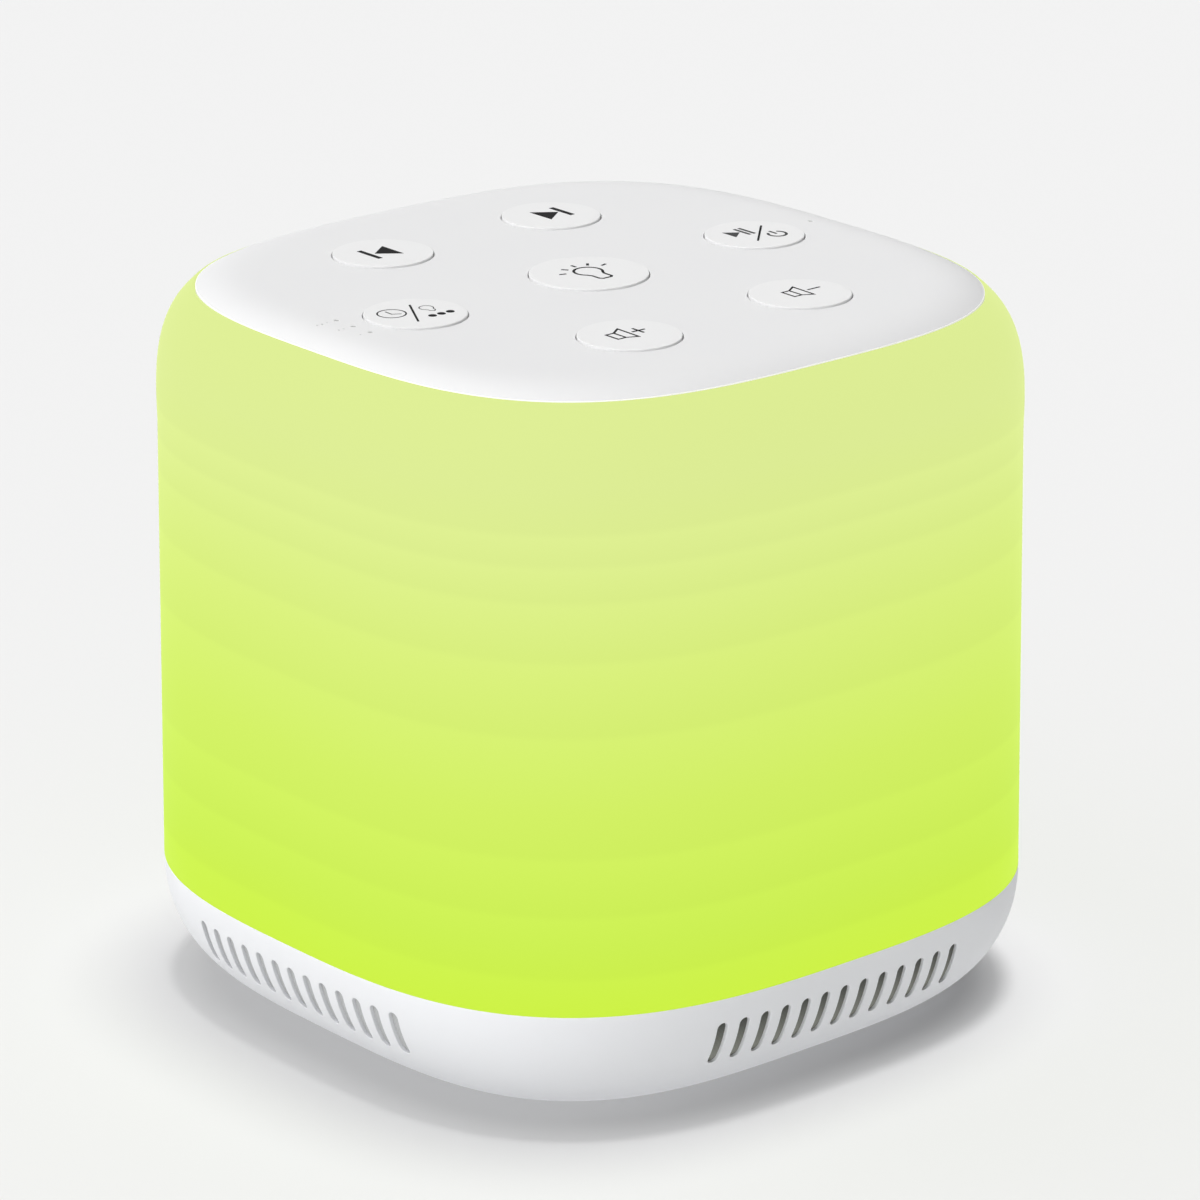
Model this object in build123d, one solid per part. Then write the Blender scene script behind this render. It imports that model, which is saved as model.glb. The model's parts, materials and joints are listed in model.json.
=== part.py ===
from build123d import *
from dataclasses import dataclass
from math import asin, cos, degrees, hypot, pi, radians, sin
import os

os.makedirs("parts", exist_ok=True)

# A white noise sound machine: a rounded cube with a slotted white base, a translucent lamp shade
# and a white cap that carries seven push keys. Millimetres, +Z up, the front faces -Y, and the
# origin lies under the middle of the rubber feet.

# ---------------------------------------------------------------- driving dimensions, outer form
body_width = 100.0          # across the flats, where the base meets the shade
base_height = 15.8          # from the underside of the base to its seam with the shade
base_round_run = 12.92      # the base's side is a quarter ellipse: this far inwards
base_round_rise = 17.2      # and this high
shade_straight = 59.06      # height of the shade's straight wall
shade_draft = 0.83          # the straight wall leans in by this much over its height
shoulder_run = 12.25        # the shoulder is a superelliptic quarter: this far inwards
shoulder_rise = 18.91       # and this high
shoulder_power = 2.945      # exponent of the shoulder's curve
cap_inset = 4.89            # the cap's edge lies this far in from the top of the straight wall
plan_power_bottom = 3.3     # exponents of the squircle in plan, from the bottom up
plan_power_seam = 2.95
plan_power_shoulder = 3.0
plan_power_cap = 3.12
ring_points = 32            # points on each squircle, by its formula

# walls and fits
base_wall = 2.0
shade_wall = 2.0
cap_wall = 2.0
fit_gap = 0.15              # between mating mouldings
seat_gap = 0.3              # around a board or plate in its housing
screw_slack = 0.05          # between a screw's shank and its pilot hole

# base shell
tongue_height = 3.5         # lip that reaches up inside the shade
tongue_wall = 1.3
rib_wall = 1.2              # upright ribs in the corners carry the chassis
rib_spread = 14.0           # degrees either side of the corner
rib_reach = 10.0            # length inwards from the corner
shelf_width = 2.0           # shelf that the bottom cover closes against
shelf_height = 1.5
slot_count = 13             # sound slots in each side
slot_pitch = 3.25
slot_width = 1.5
slot_length = 6.05
slot_bottom = 6.4           # above the underside of the base
slot_depth = 8.0            # the cutting prism's depth, more than the wall
slot_wall = 0.6             # the wall is thinned to this behind the slots
cloth_wall = 0.4            # acoustic cloth glued into the thinned pocket
glue_line = 0.05            # between the cloth and the wall
cloth_margin = 1.0          # the pocket reaches this far past the slots
cloth_gap = 0.15            # between the cloth's edge and the pocket's side

# bottom cover
cover_edge = 4.0            # the cover stops this far inside the flat of the base
cover_wall = 2.0
deflector_radius = 16.0     # cone that turns the sound outwards to the slots
deflector_height = 9.5
deflector_tip = 1.2
deflector_sag = 2.6         # how hollow the cone's side is
foot_radius = 5.0
foot_proud = 1.0            # below the cover
foot_recess = 0.6
foot_margin = 1.5           # from a foot to the cover's corner

# screws
screw_radius = 1.2
screw_head_radius = 2.2
screw_head_height = 1.4
screw_reach = 6.0           # length in the boss
boss_radius = 3.0

# chassis plate, which carries the speaker and the light board
chassis_wall = 2.0
core_boss_drop = 5.0

# speaker, which faces down
speaker_radius = 22.0
speaker_lip = 4.2           # width of the frame's front ring
speaker_lip_wall = 0.8
gasket_wall = 0.5
basket_height = 8.4         # from the front ring to the magnet
basket_wall = 0.8
basket_windows = 6
basket_window_width = 6.0
magnet_radius = 16.0
magnet_height = 5.0
pole_plate = 1.6
pole_radius = 5.0
coil_gap = 0.45             # from the pole to the coil's former
former_wall = 0.25
former_length = 7.4
winding_wall = 0.35
winding_length = 3.2
cone_wall = 0.4
cone_height = 4.3
surround_width = 2.3
surround_wall = 0.35
spider_wall = 0.4
spider_rise = 0.35          # height of its corrugations
speaker_screw_radius = 0.9
speaker_screw_head = 1.5
dust_cap_rise = 1.7
dust_cap_wall = 0.35

# light board and reflector core
board_wall = 1.6
light_board_wall = 1.2
light_board_inset = 4.5     # in from the tongue
emitter_count = 24
emitter_size = 4.0
emitter_height = 1.5
emitter_inset = 4.5         # from the light board's edge to the emitters' middle
core_wall = 1.6
core_gap = 1.2              # from the speaker's rim to the core
core_waist = 3.0            # the core narrows by this much towards the top
core_flare_height = 15.0
core_tray_depth = 3.6
core_lug = 1.4
core_lug_gap = 0.7          # from the column to the lug's screw boss
main_board_rise = 6.0       # from the magnet's back to the main board
main_board_ledge = 3.8

# keys
key_count = 6               # in the ring
key_radius = 6.45
centre_key_radius = 7.6
key_margin = 2.47           # from a ring key to the edge of the cap's flat
key_proud = 0.25            # above the cap
key_gap = 0.2               # round each key
key_edge = 0.12             # chamfer of the key's rim
key_flange = 0.8            # the flange that keeps the key in
key_flange_wall = 1.2
key_travel = 0.5
key_skin = 1.3
key_lug = 1.6               # width of the lug that stops a key turning
collar_wall = 0.8
collar_height = 1.9
switch_size = 6.0
switch_height = 3.5
plunger_radius = 1.7
plunger_proud = 0.8
plunger_depth = 1.2
stem_radius = 1.5
key_board_margin = 3.75     # past the ring keys' flanges
cap_boss_radius = 2.75
cap_boss_circle = 30.0
cap_boss_angles = (30, 150, 210, 330)

# indicator lights: three for the timer beside the -X key, one for power beside the +X key
indicator_radius = 0.3
timer_light_out = 2.4       # from the key's rim outwards
timer_light_pitch = 3.35
timer_light_shift = 1.1     # the row's middle lies this much towards the back
power_light_out = 3.95
power_light_shift = 0.66
indicator_chip = 1.0

# power inlet in the back of the base
socket_width = 8.94
socket_height = 3.26
socket_depth = 7.3
socket_shell = 0.3
socket_tongue = 0.7
socket_z = 9.4              # its middle, above the underside of the base
socket_setback = 0.8        # the mouth lies this far inside the wall's outer face
socket_clear = 0.35
socket_board_width = 20.0
socket_board_depth = 12.0
socket_post_radius = 2.4
socket_screw_radius = 0.9

# ---------------------------------------------------------------- heights and widths that follow
half = body_width / 2
floor_z = foot_proud                       # underside of the base
seam_z = floor_z + base_height
shoulder_z = seam_z + shade_straight
top_z = shoulder_z + shoulder_rise
round_centre_z = floor_z + base_round_rise
seam_angle = asin((round_centre_z - seam_z) / base_round_rise)
base_flat = half - base_round_run
seam_half = base_flat + base_round_run * cos(seam_angle)
shoulder_half = half - shade_draft
cap_flat = shoulder_half - shoulder_run
cap_half = shoulder_half - cap_inset

tongue_half = seam_half - shade_wall - fit_gap
rim_half = tongue_half - tongue_wall
chassis_z = floor_z + 13.0                 # underside of the chassis, on the ribs
chassis_top = chassis_z + chassis_wall
chassis_half = rim_half - seat_gap
cover_half = base_flat - cover_edge
cover_top = floor_z + cover_wall
cover_boss_top = cover_top + shelf_height
cover_screw_circle = cover_half - shelf_width - boss_radius - 1.1
cover_corner = cover_half * 2 ** (0.5 - 1 / plan_power_bottom)
foot_circle = cover_corner - foot_radius - foot_margin

gasket_z = chassis_top
speaker_z = gasket_z + gasket_wall         # front of the speaker's frame
basket_top = speaker_z + speaker_lip_wall + basket_height
magnet_z = basket_top + pole_plate
yoke_z = magnet_z + magnet_height
speaker_top = yoke_z + pole_plate
former_radius = pole_radius + coil_gap
former_outer = former_radius + former_wall
winding_outer = former_outer + winding_wall
speaker_inner = speaker_radius - speaker_lip
basket_neck = speaker_inner - 5.6          # inside radius of the basket at its top
cone_outer = speaker_inner - surround_width
cone_z = speaker_z + 0.3                   # the cone's outer edge
cone_neck_z = cone_z + cone_height

light_board_top = chassis_top + light_board_wall
light_board_half = rim_half - light_board_inset
core_inner = speaker_radius + core_gap
core_outer = core_inner + core_wall
core_screw_circle = core_outer + core_lug_gap + boss_radius
main_board_top = speaker_top + main_board_rise + board_wall
ledge_top = main_board_top + core_wall

cap_under = top_z - cap_wall
key_ring = cap_flat - key_radius - key_margin
flange_top = cap_under - seat_gap
flange_z = flange_top - key_flange_wall
stem_z = flange_z - 0.7                    # the stem ends on the switch's plunger
switch_top = stem_z - plunger_proud
key_board_top = switch_top - switch_height
key_board_z = key_board_top - board_wall
key_board_radius = key_ring + key_radius + key_flange + key_board_margin
key_names = ("play", "next", "previous", "timer", "louder", "softer")


# ---------------------------------------------------------------- basic shapes
def disc(radius, low, high, x=0.0, y=0.0):
    """An upright round bar between two heights."""
    return Pos(x, y, (low + high) / 2) * Cylinder(radius, high - low)


def tube(outer, inner, low, high, x=0.0, y=0.0):
    """An upright round ring between two heights."""
    return disc(outer, low, high, x, y) - disc(inner, low - 1, high + 1, x, y)


def block(x, y, z):
    """A box from three pairs of limits."""
    middle = Pos((x[0] + x[1]) / 2, (y[0] + y[1]) / 2, (z[0] + z[1]) / 2)
    return middle * Box(x[1] - x[0], y[1] - y[0], z[1] - z[0])


def turned(points):
    """A solid of revolution about Z from (radius, height) corners."""
    corners = [(radius, 0, height) for radius, height in points]
    return revolve(Face(Wire.make_polygon(corners, close=True)), Axis.Z)


def around(count, radius, start=0.0):
    """Centres spaced evenly on a circle."""
    turns = [radians(start + 360 * k / count) for k in range(count)]
    return [(radius * cos(turn), radius * sin(turn)) for turn in turns]


def joined(pieces):
    """Solids of one node, kept apart."""
    return Compound(children=[piece for part in pieces for piece in part.solids()])


# ---------------------------------------------------------------- squircle sections and skins
def plan_power(z):
    """The squircle's exponent at a height, in straight lines between the given ones."""
    marks = [
        (floor_z, plan_power_bottom),
        (seam_z, plan_power_seam),
        (shoulder_z, plan_power_shoulder),
        (top_z, plan_power_cap),
    ]
    if z <= floor_z:
        return plan_power_bottom
    for (low, first), (high, second) in zip(marks, marks[1:]):
        if z <= high:
            return first + (second - first) * (z - low) / (high - low)
    return plan_power_cap


def squircle(size, z, power):
    """A flat face whose edge is |x|^n + |y|^n = size^n, starting at a corner."""
    edge = []
    for k in range(ring_points):
        turn = pi / 4 + 2 * pi * k / ring_points
        reach = (abs(cos(turn)) ** power + abs(sin(turn)) ** power) ** (-1 / power)
        edge.append(Vector(size * reach * cos(turn), size * reach * sin(turn), z))
    return Face(Wire([Edge.make_spline(edge, periodic=True)]))


def prism(size, low, high, power):
    """An upright bar with a squircle section."""
    return extrude(squircle(size, low, power), high - low, dir=(0, 0, 1))


@dataclass
class RoundedEdge:
    """A quarter of a superellipse that turns an upright wall into a flat one."""

    flat: float
    z: float
    run: float
    rise: float
    power: float

    def section(self, angle, depth=0.0):
        """The squircle at an angle along the curve, at a depth below the skin."""
        out = max(cos(angle), 0.0) ** (2 / self.power)
        up = max(sin(angle), 0.0) ** (2 / self.power)
        normal_out = out ** (self.power - 1) / self.run
        normal_up = up ** (self.power - 1) / self.rise
        length = hypot(normal_out, normal_up)
        size = self.flat + self.run * out - depth * normal_out / length
        z = self.z + self.rise * up
        return squircle(size, z - depth * normal_up / length, plan_power(z))


base_round = RoundedEdge(base_flat, round_centre_z, base_round_run, -base_round_rise, 2.0)
shoulder = RoundedEdge(cap_flat, shoulder_z, shoulder_run, shoulder_rise, shoulder_power)
base_angles = [radians(a) for a in (90, 74, 58, 43, 29, 16)] + [seam_angle]
shoulder_angles = [radians(a) for a in (0, 12, 25, 38, 51, 63, 74, 84, 90)]


def base_skin(depth=0.0):
    """The base's form, or the same form a depth inside it."""
    return loft([base_round.section(angle, depth) for angle in base_angles])


def upper_skin(depth=0.0):
    """The shade and cap's common form, or the same form a depth inside it."""
    foot = squircle(seam_half - depth, seam_z, plan_power(seam_z))
    wall = loft([foot, shoulder.section(0.0, depth)], ruled=True)
    return wall + loft([shoulder.section(angle, depth) for angle in shoulder_angles])


# ---------------------------------------------------------------- fasteners and small parts
def screw(x, y, seat, reach, radius=screw_radius, head=screw_head_radius, up=True):
    """A pan-head screw: its shank starts at the seat and runs up or down."""
    way = 1 if up else -1
    height = screw_head_height * head / screw_head_radius
    shank = disc(radius, min(seat, seat + way * reach), max(seat, seat + way * reach), x, y)
    cap = disc(head, min(seat, seat - way * height), max(seat, seat - way * height), x, y)
    return shank + cap


def lofted_foot(x, y):
    """A rubber foot, a little narrower where it stands."""
    top = floor_z + foot_recess
    seat = disc(foot_radius, floor_z, top, x, y)
    pad = Pos(x, y) * turned([(0, 0), (foot_radius - 0.7, 0), (foot_radius, 0.5),
                              (foot_radius, floor_z), (0, floor_z)])
    return seat + pad


# ---------------------------------------------------------------- base
def sound_slots():
    """Round-ended upright slots through the four sides; the inlet takes the back's middle."""
    low = floor_z + slot_bottom
    outline = Rot(0, 0, 90) * SlotOverall(slot_length, slot_width)
    bar = Plane.XZ * extrude(outline, slot_depth / 2, both=True)
    bar = Pos(0, -half + 1, low + slot_length / 2) * bar
    cutters = []
    inlet_side = socket_width / 2 + socket_clear + slot_width
    for side in range(4):
        for k in range(slot_count):
            x = (k - (slot_count - 1) / 2) * slot_pitch
            if side == 2 and abs(x) < inlet_side:
                continue
            cutters.append(Rot(0, 0, 90 * side) * Pos(x, 0, 0) * bar)
    return cutters


def pocket_blocks(inset=0.0):
    """Blocks round each band of slots, for the pocket in the wall and the cloth in it."""
    reach = (slot_count - 1) / 2 * slot_pitch + slot_width / 2 + cloth_margin - inset
    beside_inlet = socket_width / 2 + socket_clear + 0.6 + inset
    low = floor_z + slot_bottom - cloth_margin + inset
    blocks = []
    for side in range(4):
        spans = [(-reach, reach)]
        if side == 2:
            spans = [(-reach, -beside_inlet), (beside_inlet, reach)]
        for span in spans:
            bar = block(span, (-half - 1, -rim_half + 6), (low, chassis_z - inset))
            blocks.append(Rot(0, 0, 90 * side) * bar)
    return blocks


def make_slot_cloth():
    """Strips of cloth behind the slots, which keep dust out and let the sound through."""
    front = slot_wall + glue_line
    sheet = base_skin(front) - base_skin(front + cloth_wall)
    return joined([sheet & bar for bar in pocket_blocks(cloth_gap)])


def inlet_opening():
    """The oblong hole for the power socket."""
    width = socket_width + 2 * socket_clear
    height = socket_height + 2 * socket_clear
    outline = Plane.XZ * SlotOverall(width, height)
    return Pos(0, half - 4, floor_z + socket_z) * extrude(outline, slot_depth, both=True)


def corner_ribs(cavity):
    """Pairs of upright ribs in the corners, as high as the chassis."""
    corner = rim_half * 2 ** (0.5 - 1 / plan_power_seam)
    ribs = []
    for quarter in range(4):
        for lean in (-rib_spread, rib_spread):
            bar = block((corner - rib_reach, corner + 4), (-rib_wall / 2, rib_wall / 2),
                        (floor_z + base_wall, chassis_z))
            ribs.append(Rot(0, 0, 45 + 90 * quarter + lean) * bar & cavity)
    return ribs


def socket_posts():
    """Centres of the two posts under the socket's board."""
    reach = socket_board_width / 2 - socket_post_radius
    back = inlet_board_back - socket_board_depth / 2
    return [(-reach, back), (reach, back)]


def base_side(z):
    """Half the base's width at a height, by its ellipse."""
    return base_flat + base_round_run * (1 - ((round_centre_z - z) / base_round_rise) ** 2) ** 0.5


inlet_mouth = base_side(floor_z + socket_z) - socket_setback
inlet_board_top = floor_z + socket_z - socket_height / 2
inlet_board_z = inlet_board_top - board_wall
inlet_board_back = base_side(inlet_board_z) - 1.3 * base_wall - seat_gap


def make_base_shell():
    cavity = base_skin(base_wall) - block((-half, half), (-half, half), (chassis_z, seam_z + 9))
    shell = base_skin() - cavity
    thinned = base_skin(slot_wall)
    for bar in pocket_blocks():
        shell -= thinned & bar
    shell -= prism(rim_half, chassis_z, seam_z + 1, plan_power_seam)
    tongue = prism(tongue_half, seam_z - 1.0, seam_z + tongue_height, plan_power_seam)
    tongue -= prism(rim_half, seam_z - 2, seam_z + tongue_height + 1, plan_power_seam)
    shell += tongue
    shelf = prism(cover_half + shelf_width, cover_top, cover_boss_top, plan_power_bottom)
    shell += shelf
    shell -= prism(cover_half - shelf_width, floor_z - 1, cover_boss_top + 1, plan_power_bottom)
    shell -= prism(cover_half, floor_z - 1, cover_top, plan_power_bottom)
    for rib in corner_ribs(cavity):
        shell += rib
    for x, y in socket_posts():
        post = disc(socket_post_radius, floor_z + base_wall / 2, inlet_board_z, x, y)
        pilot = disc(socket_screw_radius + screw_slack, cover_top + 1, inlet_board_top + 1, x, y)
        shell = shell + post - pilot
    shell -= inlet_opening()
    shell -= sound_slots()
    return shell


def make_bottom_cover():
    cover = prism(cover_half - fit_gap, floor_z, cover_top, plan_power_bottom)
    cone_top = cover_top + deflector_height
    tip = (deflector_tip, 0, cone_top)
    rim = (deflector_radius, 0, cover_top)
    middle = ((deflector_tip + deflector_radius) / 2 - deflector_sag, 0,
              (cone_top + cover_top) / 2 - deflector_sag)
    side = ThreePointArc(tip, middle, rim)
    rest = Polyline(rim, (deflector_radius, 0, floor_z + 1), (0, 0, floor_z + 1), (0, 0, cone_top), tip)
    cover += revolve(Face(Wire([*side.edges(), *rest.edges()])), Axis.Z)
    head_seat = floor_z + screw_head_height
    for x, y in around(4, cover_screw_circle):
        cover += disc(boss_radius, cover_top - 0.5, cover_boss_top, x, y)
        cover -= disc(screw_radius + fit_gap, floor_z - 1, cover_boss_top + 1, x, y)
        cover -= disc(screw_head_radius + fit_gap, floor_z - 1, head_seat, x, y)
    for x, y in foot_places():
        cover -= disc(foot_radius + fit_gap, floor_z - 1, floor_z + foot_recess, x, y)
    return cover


def foot_places():
    return around(4, foot_circle, 45)


def make_feet():
    return joined([lofted_foot(x, y) for x, y in foot_places()])


def make_cover_screws():
    seat = floor_z + screw_head_height
    reach = cover_boss_top - seat + screw_reach
    return joined([screw(x, y, seat, reach) for x, y in around(4, cover_screw_circle)])


def make_chassis():
    plate = prism(chassis_half, chassis_z, chassis_top, plan_power_seam)
    plate -= disc(speaker_inner, chassis_z - 1, chassis_top + 1)
    for x, y in speaker_screw_places():
        plate -= disc(speaker_screw_radius + screw_slack, chassis_z + 0.2, chassis_top + 1, x, y)
    for x, y in around(4, cover_screw_circle):
        plate += disc(boss_radius, cover_boss_top, chassis_z + 0.5, x, y)
        depth = cover_boss_top + screw_reach + 0.5
        plate -= disc(screw_radius + screw_slack, cover_boss_top - 1, depth, x, y)
    for x, y in around(4, core_screw_circle, 45):
        plate += disc(boss_radius, chassis_z - core_boss_drop, chassis_z + 0.5, x, y)
        plate -= disc(screw_radius + screw_slack, chassis_z - core_boss_drop + 1, chassis_top + 1, x, y)
    return plate


# ---------------------------------------------------------------- power inlet
def make_socket():
    """The inlet's metal shell, with its plastic back and tongue left to another node."""
    middle = floor_z + socket_z
    outer = extrude(Plane.XZ * SlotOverall(socket_width, socket_height), socket_depth)
    inner = extrude(Plane.XZ * SlotOverall(socket_width - 2 * socket_shell,
                                           socket_height - 2 * socket_shell), socket_depth)
    return Pos(0, inlet_mouth, middle) * (outer - inner)


def make_socket_tongue():
    """The insulating block and tongue inside the socket."""
    middle = floor_z + socket_z
    core = extrude(Plane.XZ * SlotOverall(socket_width - 2 * socket_shell,
                                          socket_height - 2 * socket_shell), 1.2)
    back = inlet_mouth - socket_depth
    plug = Pos(0, back + 1.2, middle) * core
    reach = (back + 0.5, inlet_mouth - 0.8)
    width = socket_width * 0.37
    return plug + block((-width, width), reach, (middle - socket_tongue / 2, middle + socket_tongue / 2))


def make_socket_board():
    width = socket_board_width / 2
    board = block((-width, width), (inlet_board_back - socket_board_depth, inlet_board_back),
                  (inlet_board_z, inlet_board_top))
    for x, y in socket_posts():
        board -= disc(socket_screw_radius + fit_gap, 0, inlet_board_top + 1, x, y)
    return board


def make_socket_screws():
    head = screw_head_radius * socket_screw_radius / screw_radius
    return joined([screw(x, y, inlet_board_top, 3.2, socket_screw_radius, head, up=False)
                   for x, y in socket_posts()])


# ---------------------------------------------------------------- speaker
def speaker_screw_places():
    return around(4, speaker_radius - speaker_screw_head - fit_gap, 45)


def basket_side(z):
    """The inside radius of the basket's tapered wall at a height."""
    low = speaker_z + speaker_lip_wall + 0.6
    high = basket_top - basket_wall
    return speaker_inner - (speaker_inner - basket_neck) * (z - low) / (high - low)


def make_gasket():
    gasket = tube(speaker_radius, speaker_inner, gasket_z, speaker_z)
    for x, y in speaker_screw_places():
        gasket -= disc(speaker_screw_radius + screw_slack, 0, top_z, x, y)
    return gasket


def make_speaker_frame():
    """A pressed basket: front ring, tapered windowed wall and a flat seat for the magnet."""
    low = speaker_z
    lip_top = low + speaker_lip_wall
    neck = basket_neck
    bore = winding_outer + 0.6
    frame = turned([
        (speaker_inner, low), (speaker_radius, low), (speaker_radius, lip_top),
        (speaker_inner + 0.8, lip_top), (neck + 1.4, basket_top - 0.6), (neck + 0.8, basket_top),
        (bore, basket_top), (bore, basket_top - basket_wall), (neck, basket_top - basket_wall),
        (speaker_inner, lip_top + 0.6)])
    for k in range(basket_windows):
        window = block((neck, speaker_radius), (-basket_window_width / 2, basket_window_width / 2),
                       (lip_top + 1.4, basket_top - 1.6))
        frame -= Rot(0, 0, 360 * k / basket_windows) * window
    for x, y in speaker_screw_places():
        frame -= disc(speaker_screw_radius + screw_slack, 0, top_z, x, y)
    return frame


def make_top_plate():
    return tube(magnet_radius - 1.5, winding_outer + 0.35, basket_top, magnet_z)


def make_magnet():
    return tube(magnet_radius, pole_radius + 3.5, magnet_z, yoke_z)


def make_yoke():
    back = turned([(0, yoke_z), (magnet_radius - 1.5, yoke_z), (magnet_radius - 1.5, speaker_top - 0.4),
                   (magnet_radius - 1.9, speaker_top), (0, speaker_top)])
    return back + disc(pole_radius, basket_top - 0.3, yoke_z + 0.5)


def make_voice_coil():
    low = cone_neck_z - 0.2
    former = tube(former_outer, former_radius, low, low + former_length)
    wound_z = basket_top + pole_plate / 2 - winding_length / 2
    return former + tube(winding_outer, former_outer - 0.05, wound_z, wound_z + winding_length)


def make_cone():
    """A paper cone that flares from the coil to the surround, open downwards."""
    neck = former_outer + 0.02
    start = (neck, 0, cone_neck_z)
    end = (cone_outer, 0, cone_z)
    bulge = ((neck + cone_outer) / 2, 0, (cone_neck_z + cone_z) / 2 + 0.45)
    upper = ThreePointArc((neck, 0, cone_neck_z + cone_wall), (bulge[0], 0, bulge[2] + cone_wall),
                          (cone_outer, 0, cone_z + cone_wall))
    lower = ThreePointArc(start, bulge, end)
    side = Line(lower @ 1, upper @ 1)
    neck_side = Line(upper @ 0, lower @ 0)
    return revolve(Face(Wire([*lower.edges(), *side.edges(), *upper.edges(), *neck_side.edges()])), Axis.Z)


def make_dust_cap():
    """A shallow dome over the coil, bulging towards the listener."""
    edge = former_outer + 1.2
    ball = (edge ** 2 + dust_cap_rise ** 2) / (2 * dust_cap_rise)
    low = cone_neck_z - 0.6 - dust_cap_rise
    shell = Pos(0, 0, low + ball) * (Sphere(ball) - Sphere(ball - dust_cap_wall))
    return shell & disc(edge, low - 1, low + dust_cap_rise)


def make_surround():
    """A half roll of rubber between the cone's edge and the frame."""
    start = cone_outer + 0.05
    end = speaker_inner - 0.05
    z = cone_z + cone_wall
    roll = surround_width / 2
    low = ThreePointArc((start, 0, z), ((start + end) / 2, 0, z - roll), (end, 0, z))
    high = ThreePointArc((start + surround_wall, 0, z), ((start + end) / 2, 0, z - roll + surround_wall),
                         (end - surround_wall, 0, z))
    inner = Line(high @ 0, low @ 0)
    outer = Line(low @ 1, high @ 1)
    return revolve(Face(Wire([*low.edges(), *outer.edges(), *high.edges(), *inner.edges()])), Axis.Z)


def make_spider():
    """The corrugated cloth ring that centres the coil."""
    z = basket_top - basket_wall - 1.6
    inner = former_outer + 0.05
    outer = basket_side(z) - fit_gap
    steps = 6
    upper = []
    for k in range(steps + 1):
        upper.append((inner + (outer - inner) * k / steps, z + spider_rise * (k % 2)))
    lower = [(radius, height - spider_wall) for radius, height in reversed(upper)]
    return turned(upper + lower)


def make_speaker_screws():
    seat = speaker_z + speaker_lip_wall
    reach = seat - chassis_z - 0.4
    return joined([screw(x, y, seat, reach, speaker_screw_radius, speaker_screw_head, up=False)
                   for x, y in speaker_screw_places()])


# ---------------------------------------------------------------- light
def make_light_board():
    board = prism(light_board_half, chassis_top, light_board_top, plan_power_seam)
    board -= disc(core_outer + seat_gap, chassis_top - 1, light_board_top + 1)
    for x, y in around(4, core_screw_circle, 45):
        board -= disc(screw_radius + fit_gap, chassis_top - 1, light_board_top + 1, x, y)
    return board


def make_emitters():
    """Square light emitters in a ring that keeps its distance to the board's edge."""
    size = light_board_half - emitter_inset
    chips = []
    for k in range(emitter_count):
        turn = 2 * pi * (k + 0.5) / emitter_count
        reach = size * (abs(cos(turn)) ** plan_power_seam + abs(sin(turn)) ** plan_power_seam) ** (
            -1 / plan_power_seam)
        place = Pos(reach * cos(turn), reach * sin(turn), light_board_top + emitter_height / 2)
        chips.append(place * Rot(0, 0, degrees(turn)) * Box(emitter_size, emitter_size, emitter_height))
    return joined(chips)


def make_light_core():
    """A white column round the speaker and main board that flares into a tray for the key board."""
    low = chassis_top
    top = key_board_z
    waist = core_outer - core_waist
    rim = key_board_radius
    flare_z = top - core_flare_height
    tray_z = top - core_tray_depth
    ledge = core_inner - main_board_ledge
    taper_z = ledge_top + 4
    bend = ThreePointArc((waist, 0, flare_z),
                         (waist + 0.28 * (rim - waist), 0, flare_z + 0.74 * (tray_z - flare_z)),
                         (rim, 0, tray_z))
    inner_bend = ThreePointArc((rim - core_wall, 0, tray_z + core_wall * 0.6),
                               (waist + 0.28 * (rim - waist) - core_wall * 0.7, 0,
                                flare_z + 0.74 * (tray_z - flare_z) + core_wall * 0.75),
                               (waist - core_wall, 0, flare_z))
    column = Polyline((core_outer, 0, low), (core_outer, 0, taper_z), (waist, 0, flare_z))
    edge = Polyline((rim, 0, tray_z), (rim, 0, top), (rim - core_wall, 0, top),
                    (rim - core_wall, 0, tray_z + core_wall * 0.6))
    inside = Polyline((waist - core_wall, 0, flare_z), (core_inner, 0, taper_z), (core_inner, 0, ledge_top),
                      (ledge, 0, ledge_top), (ledge, 0, main_board_top), (core_inner, 0, main_board_top),
                      (core_inner, 0, low), (core_outer, 0, low))
    outline = [*column.edges(), *bend.edges(), *edge.edges(), *inner_bend.edges(), *inside.edges()]
    core = revolve(Face(Wire(outline)), Axis.Z)
    for k, (x, y) in enumerate(around(4, core_screw_circle, 45)):
        arm = block((core_inner + core_wall / 2, core_screw_circle), (-boss_radius, boss_radius),
                    (light_board_top, light_board_top + core_lug))
        core += Rot(0, 0, 45 + 90 * k) * arm
        core += disc(boss_radius, light_board_top, light_board_top + core_lug, x, y)
        core -= disc(screw_radius + fit_gap, low, light_board_top + core_lug + 1, x, y)
    for x, y in around(3, core_inner - main_board_ledge / 2, 90):
        core -= disc(screw_radius + screw_slack, main_board_top - 1, ledge_top + 1, x, y)
    return core


def make_core_screws():
    seat = light_board_top + core_lug
    reach = seat - chassis_z + core_boss_drop - 1.5
    return joined([screw(x, y, seat, reach, up=False) for x, y in around(4, core_screw_circle, 45)])


# ---------------------------------------------------------------- electronics
def make_main_board():
    board = disc(core_inner - seat_gap, main_board_top - board_wall, main_board_top)
    for x, y in around(3, core_inner - main_board_ledge / 2, 90):
        board -= disc(screw_radius + fit_gap, 0, main_board_top + 1, x, y)
    return board


def make_board_screws():
    places = around(3, core_inner - main_board_ledge / 2, 90)
    return joined([screw(x, y, main_board_top - board_wall, board_wall + core_wall, head=1.8)
                   for x, y in places])


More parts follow.
